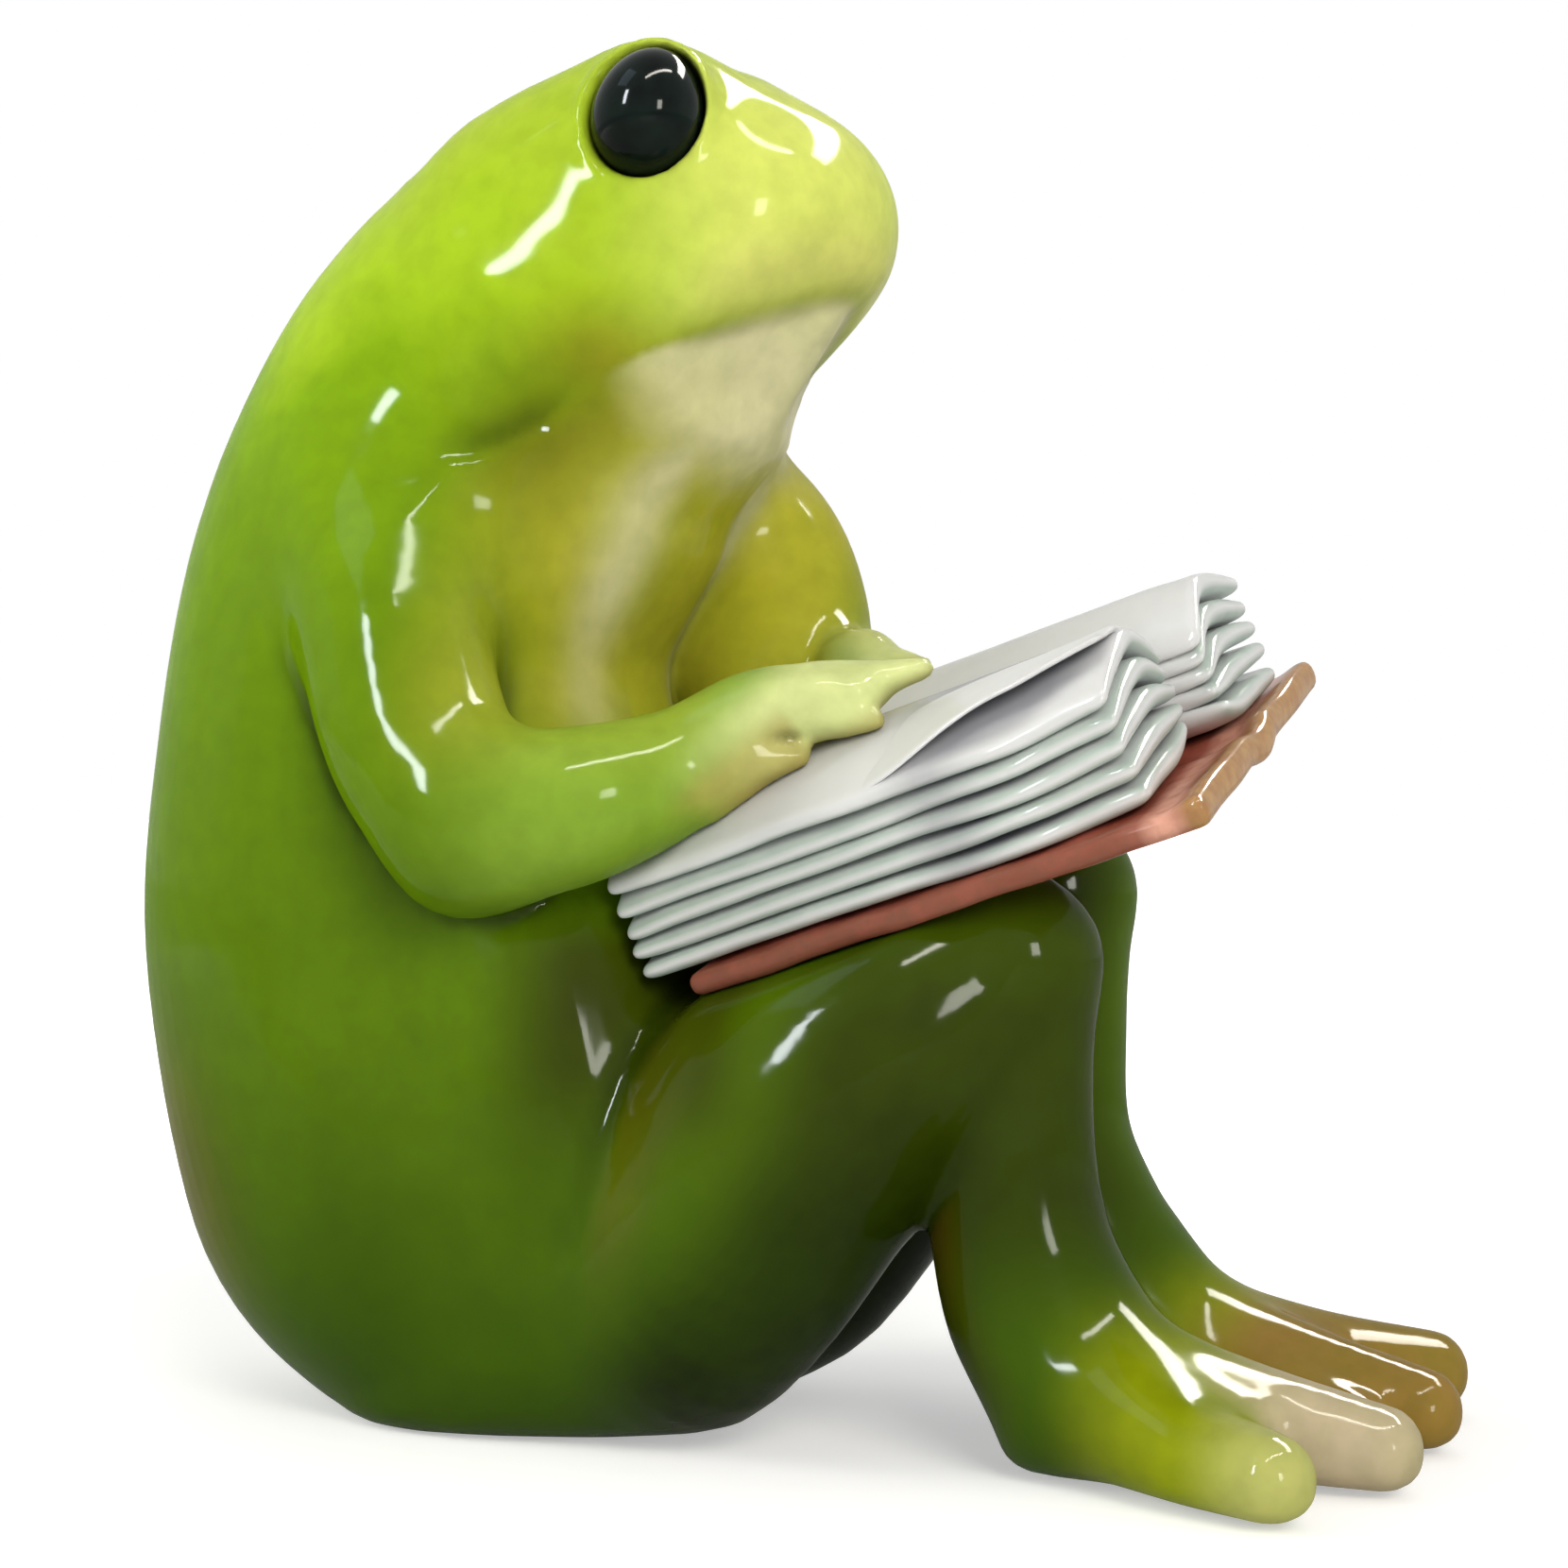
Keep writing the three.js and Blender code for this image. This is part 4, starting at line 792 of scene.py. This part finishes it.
# The grooves between the leaves are washed grey-green, which paints the shade in them as well.
wash = node(tree, "ShaderNodeMath", {"operation": "MULTIPLY", "use_clamp": True}, _0=from_ridge, _1=covered)
streak = node(tree, "ShaderNodeTexNoise", Vector=place, Scale=1 / (1.6 * MM), Detail=3.0)
tint = node(tree, "ShaderNodeMix", {"data_type": "RGBA"}, Factor=streak, A="#9cb0a6", B="#c0c8c3")
colour = node(tree, "ShaderNodeMix", {"data_type": "RGBA"}, Factor=wash, A=colour, B=tint)
shade = node(tree, "ShaderNodeAttribute", {"attribute_name": "shade"}, out="Fac")
# The lifted leaf's shadow, painted in grey.
colour = node(tree, "ShaderNodeMix", {"data_type": "RGBA"}, Factor=shade, A=colour, B="#85868e")
relief = node(tree, "ShaderNodeBump", Strength=0.3, Distance=0.1 * MM, Height=streak)
enamel = node(tree, "ShaderNodeBsdfPrincipled", Base_Color=colour, Roughness=0.45, Specular_IOR_Level=0.0,
              Normal=relief, Coat_Weight=0.5, Coat_Roughness=0.12, Coat_IOR=1.36)
node(tree, "ShaderNodeOutputMaterial", Surface=enamel)

stack = bpy.data.node_groups.new("leaf stack", "GeometryNodeTree")
for name, kind in (("Sheet", "Geometry"), ("Leaves", "Int"), ("Groove", "Float"), ("Wave height", "Float"),
                   ("Wave length", "Float"), ("Ragged edge", "Float"), ("Along", "Vector"),
                   ("Outwards", "Vector"), ("Seed", "Float"), ("Paint", "Material")):
    stack.interface.new_socket(name, in_out="INPUT", socket_type="NodeSocket" + kind)
stack.interface.new_socket("Stack", in_out="OUTPUT", socket_type="NodeSocketGeometry")
given = node(stack, "NodeGroupInput").node.outputs
rise, leaf, edge, outer, end = (
    node(stack, "GeometryNodeInputNamedAttribute", {"data_type": kind}, Name=name)
    for name, kind in (("rise", "FLOAT_VECTOR"), ("leaf", "FLOAT"), ("edge", "FLOAT"),
                       ("outer", "FLOAT"), ("end", "FLOAT")))
line = node(stack, "GeometryNodeMeshLine", Count=given["Leaves"], Offset=(0, 0, 0))
sheets = node(stack, "GeometryNodeInstanceOnPoints", Points=line, Instance=given["Sheet"])
sheets = node(stack, "GeometryNodeStoreNamedAttribute", {"domain": "INSTANCE", "data_type": "FLOAT"},
              Geometry=sheets, Name="leaf", Value=node(stack, "GeometryNodeInputIndex"))
sheets = node(stack, "GeometryNodeRealizeInstances", Geometry=sheets)
last = node(stack, "ShaderNodeMath", {"operation": "SUBTRACT"}, _0=given["Leaves"], _1=1.5)
is_last = node(stack, "ShaderNodeMath", {"operation": "GREATER_THAN"}, _0=leaf, _1=last)
sheets = node(stack, "GeometryNodeStoreNamedAttribute", {"domain": "POINT", "data_type": "FLOAT"},
              Geometry=sheets, Name="cap", Value=is_last)
pitch = node(stack, "ShaderNodeMath", {"operation": "DIVIDE"}, _0=1.0, _1=given["Leaves"])
pitch = node(stack, "ShaderNodeVectorMath", {"operation": "SCALE"}, Vector=rise, Scale=pitch)
groove = node(stack, "ShaderNodeMath", {"operation": "MULTIPLY"}, _0=edge, _1=given["Groove"])
fill = node(stack, "ShaderNodeMath", {"operation": "SUBTRACT"}, _0=1.03, _1=groove)
spare = node(stack, "ShaderNodeMath", {"operation": "SUBTRACT"}, _0=1.0, _1=fill)
base = node(stack, "ShaderNodeMath", {"operation": "MULTIPLY_ADD"}, _0=spare, _1=0.5, _2=leaf)
lift = node(stack, "ShaderNodeVectorMath", {"operation": "SCALE"}, Vector=pitch, Scale=base)
scale = node(stack, "ShaderNodeMath", {"operation": "DIVIDE"}, _0=1.0, _1=given["Wave length"])
phase = node(stack, "ShaderNodeMath", {"operation": "MULTIPLY_ADD"}, _0=leaf, _1=0.3, _2=given["Seed"])
wave = node(stack, "ShaderNodeTexNoise", {"noise_dimensions": "4D"}, out="Color",
            Vector=node(stack, "GeometryNodeInputPosition"), W=phase, Scale=scale, Detail=1.0)
wave = node(stack, "ShaderNodeVectorMath", {"operation": "SUBTRACT"}, _0=wave, _1=(0.5, 0.5, 0.5))
wave = node(stack, "ShaderNodeSeparateXYZ", Vector=wave).node.outputs
moves = [lift]
upwards = node(stack, "ShaderNodeVectorMath", {"operation": "NORMALIZE"}, _0=rise)
for amount, weight, size, direction in (
        (wave["X"], outer, given["Wave height"], upwards),
        (wave["Y"], edge, given["Ragged edge"], given["Outwards"]),
        (wave["Z"], end, given["Ragged edge"], given["Along"])):
    amount = node(stack, "ShaderNodeMath", {"operation": "MULTIPLY"}, _0=amount, _1=weight)
    amount = node(stack, "ShaderNodeMath", {"operation": "MULTIPLY"}, _0=amount, _1=size)
    move = node(stack, "ShaderNodeVectorMath", {"operation": "SCALE"}, Vector=direction, Scale=amount)
    moves.append(move)
for move in moves:
    sheets = node(stack, "GeometryNodeSetPosition", Geometry=sheets, Offset=move)
thickness = node(stack, "ShaderNodeVectorMath", {"operation": "SCALE"}, Vector=pitch, Scale=fill)
raised = node(stack, "GeometryNodeExtrudeMesh", {"mode": "FACES"}, Mesh=sheets, Offset=thickness,
              Individual=False)
upper = node(stack, "GeometryNodeStoreNamedAttribute", {"domain": "POINT", "data_type": "FLOAT"},
             Geometry=raised, Name="layer", Selection=raised.node.outputs["Top"], Value=1.0)
under = node(stack, "GeometryNodeFlipFaces", Mesh=sheets)
leaves = node(stack, "GeometryNodeJoinGeometry", Geometry=[upper, under])
leaves = node(stack, "GeometryNodeMergeByDistance", Geometry=leaves, Distance=1e-7)
leaves = node(stack, "GeometryNodeSubdivisionSurface", Mesh=leaves, Level=2)
leaves = node(stack, "GeometryNodeSetShadeSmooth", Geometry=leaves)
leaves = node(stack, "GeometryNodeRealizeInstances", Geometry=leaves)
leaves = node(stack, "GeometryNodeSetMaterial", Geometry=leaves, Material=given["Paint"])
node(stack, "NodeGroupOutput", Stack=leaves)

for name, side in (("right_page_block", RIGHT), ("left_page_block", LEFT)):
    page_head = PAGE_HEAD + HEAD_BEYOND[side]
    along = np.linspace(PAGE_TAIL, page_head, LEAF_CELLS_ALONG + 1)
    across = np.linspace(GUTTER, FORE_EDGE, LEAF_CELLS_ACROSS + 1)
    a, b = np.meshgrid(along, across, indexing="ij")
    low = PAGE_BOTTOM + GUTTER_RISE * np.clip((CREST_AT - b) / CREST_AT, 0, 1) ** 2
    drawn_in = b - HEAD_SWEEP * ease(a, 4.5, page_head) * ease(b, 5.0, FORE_EDGE)
    points = np.stack([a, side * drawn_in, low], 2).reshape(-1, 3) @ book_turn.T + BOOK_MIDDLE
    index = np.arange(a.size).reshape(a.shape)
    cells = np.stack([index[:-1, :-1], index[1:, :-1], index[1:, 1:], index[:-1, 1:]], 2).reshape(-1, 4)
    mesh = bpy.data.meshes.new(name + "_leaves")
    mesh.from_pydata(points * MM, [], (cells if side == LEFT else cells[:, ::-1]).tolist())
    step_a, step_b = along[1] - along[0], across[1] - across[0]
    from_end = np.minimum(a - PAGE_TAIL, page_head - a)
    under_leaf = ease(leaf_reach(a) + 1.6 - b, 0.0, 1.5)
    sheet_values = {
        "edge": np.clip(1 - 0.7 * np.minimum(from_end / step_a, (FORE_EDGE - b) / step_b), 0, 1),
        "outer": (b / FORE_EDGE) ** 1.5,
        "end": np.clip(1 - 0.5 * from_end / step_a, 0, 1),
        # The lifted leaf's shadow, painted in grey on the right page's top leaf.
        "shade": (side == RIGHT) * 0.8 * under_leaf * ease(a, -1.5, 2.5) * ease(-a, -9.4, -7.0)}
    for attribute, values in sheet_values.items():
        layer = mesh.attributes.new(attribute, "FLOAT", "POINT")
        layer.data.foreach_set("value", values.ravel().astype(np.float32))
    rises = (page_top(drawn_in) - low).ravel()[:, None] * book_turn[:, 2] * MM
    layer = mesh.attributes.new("rise", "FLOAT_VECTOR", "POINT")
    layer.data.foreach_set("vector", rises.ravel().astype(np.float32))
    piece = bpy.data.objects.new(name + "_leaves", mesh)
    bpy.context.scene.collection.objects.link(piece)
    maker = piece.modifiers.new("leaf stack", "NODES")
    maker.node_group = stack
    sizes = {"Leaves": LEAVES, "Groove": 0.42, "Wave height": 0.5 * MM, "Wave length": 7.0 * MM,
             "Ragged edge": 0.8 * MM, "Along": tuple(book_turn[:, 0]),
             "Outwards": tuple(side * book_turn[:, 1]), "Seed": 3.0 + side, "Paint": page_paint}
    for socket in stack.interface.items_tree:
        if socket.name in sizes:
            maker[socket.identifier] = sizes[socket.name]
    ready = bpy.context.evaluated_depsgraph_get()
    piece.data = bpy.data.meshes.new_from_object(
        piece.evaluated_get(ready), preserve_all_data_layers=True, depsgraph=ready)
    piece.modifiers.clear()
    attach(piece, "root")
    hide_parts(name)

# Lifted leaf: the top leaf of the right page, cast thin, which comes away from the stack in a wave
# towards the head. Under its edge a lens of shadow is painted in grey on the stack.
LEAF_FROM = -4.0
LEAF_THICK = 0.34
LEAF_SHORT_OF_HEAD = 0.7
LEAF_ROOT = CREST_AT - 0.6
LEAF_WAVE = 0.95
LEAF_SUNK = 0.32
LEAF_COMES_UP = 0.46
along = np.linspace(LEAF_FROM, PAGE_HEAD - LEAF_SHORT_OF_HEAD, 25)
share = np.linspace(0, 1, 15)
a, s = np.meshgrid(along, share, indexing="ij")
b = LEAF_ROOT + (leaf_reach(a) - LEAF_ROOT) * s
wave = LEAF_WAVE * ease(a, LEAF_FROM, 5.5) * (1 - 0.3 * ease(a, 6.0, 10.0))
come_up = LEAF_COMES_UP * ease(a, LEAF_FROM, 3.0) * ease(s, 0.0, 0.35)
leaf_top = page_top(b) - LEAF_SUNK + come_up + wave * s ** 2
low = leaf_top - LEAF_THICK * (1 - 0.35 * s)
lifted = slab("lifted_leaf_sheet", np.stack([a, -b, leaf_top], 2), np.stack([a, -b, low], 2),
              {"edge": 0 * a, "layer": 0 * a + 0.5, "cap": 0 * a, "shade": 0 * a}, page_paint)
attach(lifted, "root")
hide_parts("lifted_leaf")

# Pins: short lengths of drawn steel wire in drilled holes, which carry the arms, the legs and the book.
# The drawing leaves fine lines along the wire.
pin_steel, tree = new_material("drawn steel wire")
place = node(tree, "ShaderNodeTexCoord", out="Object")
stretched = node(tree, "ShaderNodeMapping", Vector=place, Scale=(1.0, 0.05, 1.0))
lines = node(tree, "ShaderNodeTexNoise", Vector=stretched, Scale=1 / (0.08 * MM), Detail=2.0)
shine = node(tree, "ShaderNodeMapRange", Value=lines, To_Min=0.22, To_Max=0.42)
colour = node(tree, "ShaderNodeMix", {"data_type": "RGBA"}, Factor=lines, A="#a9aaa8", B="#c6c7c4")
steel = node(tree, "ShaderNodeBsdfPrincipled", Base_Color=colour, Metallic=1.0, Roughness=shine)
node(tree, "ShaderNodeOutputMaterial", Surface=steel)
for joint in ("shoulder", "hip", "knee"):
    for hand in ("right", "left"):
        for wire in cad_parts[f"{hand}_{joint}_pin"].material_slots:
            wire.material = pin_steel

# Floor: a sheet of white card under a white surround. Both look white to the camera. The card keeps the
# figure's soft shadow, and in reflections it is dimmer than the surround.
card_mesh = bpy.data.meshes.new("floor")
card_mesh.from_pydata([(-2, -2, 0), (2, -2, 0), (2, 2, 0), (-2, 2, 0)], [], [(0, 1, 2, 3)])
floor = bpy.data.objects.new("floor", card_mesh)
bpy.context.scene.collection.objects.link(floor)
white_card, tree = new_material("white card")
rays = node(tree, "ShaderNodeLightPath").node.outputs
mirrored = node(tree, "ShaderNodeMath", {"operation": "MAXIMUM"}, _0=rays["Is Glossy Ray"],
                _1=rays["Is Transmission Ray"])
mirrored = node(tree, "ShaderNodeMath", {"operation": "MULTIPLY"}, _0=mirrored, _1=0.2)
place = node(tree, "ShaderNodeTexCoord", out="Object")
away = node(tree, "ShaderNodeVectorMath", {"operation": "LENGTH"}, out="Value", _0=place)
fade = node(tree, "ShaderNodeMapRange", {"interpolation_type": "SMOOTHSTEP"}, Value=away,
            From_Min=0.04, From_Max=0.11, To_Min=0.42, To_Max=1.0)
fade = node(tree, "ShaderNodeMath", {"operation": "MULTIPLY_ADD"}, _0=rays["Is Camera Ray"], _1=fade,
            _2=mirrored)
card = node(tree, "ShaderNodeBsdfDiffuse", Color=(0.8, 0.8, 0.8, 1))
glow = node(tree, "ShaderNodeEmission", Strength=fade)
card = node(tree, "ShaderNodeAddShader", _0=card, _1=glow)
node(tree, "ShaderNodeOutputMaterial", Surface=card)
card_mesh.materials.append(white_card)

ROOM_LIGHT = 0.5
world = bpy.data.worlds.new("studio")
bpy.context.scene.world = world
world.use_nodes = True
tree = world.node_tree
tree.nodes.clear()
rays = node(tree, "ShaderNodeLightPath").node.outputs
seen = node(tree, "ShaderNodeMath", {"operation": "MAXIMUM"}, _0=rays["Is Camera Ray"],
            _1=rays["Is Glossy Ray"])
seen = node(tree, "ShaderNodeMath", {"operation": "MAXIMUM"}, _0=seen, _1=rays["Is Transmission Ray"])
strength = node(tree, "ShaderNodeMapRange", Value=seen, To_Min=ROOM_LIGHT, To_Max=1.0)
sky = node(tree, "ShaderNodeBackground", Color=(1, 1, 1, 1), Strength=strength)
node(tree, "ShaderNodeOutputWorld", Surface=sky)

# Lamps: a softbox in front, a weak overhead panel and a side lamp light the figure. The other five are
# seen only in the lacquer, as its highlights: a window, two long lamps, a patch of sky and a bright wall.
LIT_POINT = Vector((0.012, 0.0, 0.03))
for name, at, size, power, code, lights in (
        ("softbox", (0.22, -0.26, 0.18), (0.16, 0.16), 0.85, "#fffaf0", True),
        ("overhead", (0.0, 0.03, 0.36), (0.2, 0.2), 0.08, "#fffaf0", True),
        ("side lamp", (-0.30, -0.12, 0.11), (0.12, 0.12), 0.60, "#fffdf5", True),
        ("window", (-0.09, -0.275, 0.19), (0.035, 0.11), 1.5, "#f2f6ff", False),
        ("long lamp", (0.15, 0.23, 0.32), (0.30, 0.07), 5.4, "#fffaf0", False),
        ("strip lamp", (0.15, -0.08, 0.32), (0.28, 0.022), 1.7, "#fffaf0", False),
        ("sky panel", (-0.137, -0.162, 0.333), (0.14, 0.14), 0.22, "#d4e6ff", False),
        ("bright wall", (0.27, -0.18, 0.10), (0.05, 0.07), 0.5, "#fffdf5", False)):
    lamp = bpy.data.lights.new(name, "AREA")
    lamp.shape = "RECTANGLE"
    lamp.size, lamp.size_y = size
    lamp.energy = power
    lamp.color = to_linear(code)[:3]
    lamp_object = bpy.data.objects.new(name, lamp)
    lamp_object.location = at
    lamp_object.rotation_euler = (LIT_POINT - Vector(at)).to_track_quat("-Z", "Y").to_euler()
    lamp_object.visible_diffuse = lights
    lamp_object.visible_glossy = not lights
    bpy.context.scene.collection.objects.link(lamp_object)

# Camera: level with the figure's middle, on its right side and a little in front.
lens = bpy.data.cameras.new("camera")
lens.lens = 73.0
lens.sensor_width = 36
lens.clip_start = 0.001
camera = bpy.data.objects.new("camera", lens)
camera.location = (0.06544, -0.12981, 0.0282)
camera.rotation_euler = (math.pi / 2, 0, math.radians(22))
bpy.context.scene.collection.objects.link(camera)
bpy.context.scene.camera = camera
bpy.context.scene.view_settings.view_transform = "Standard"
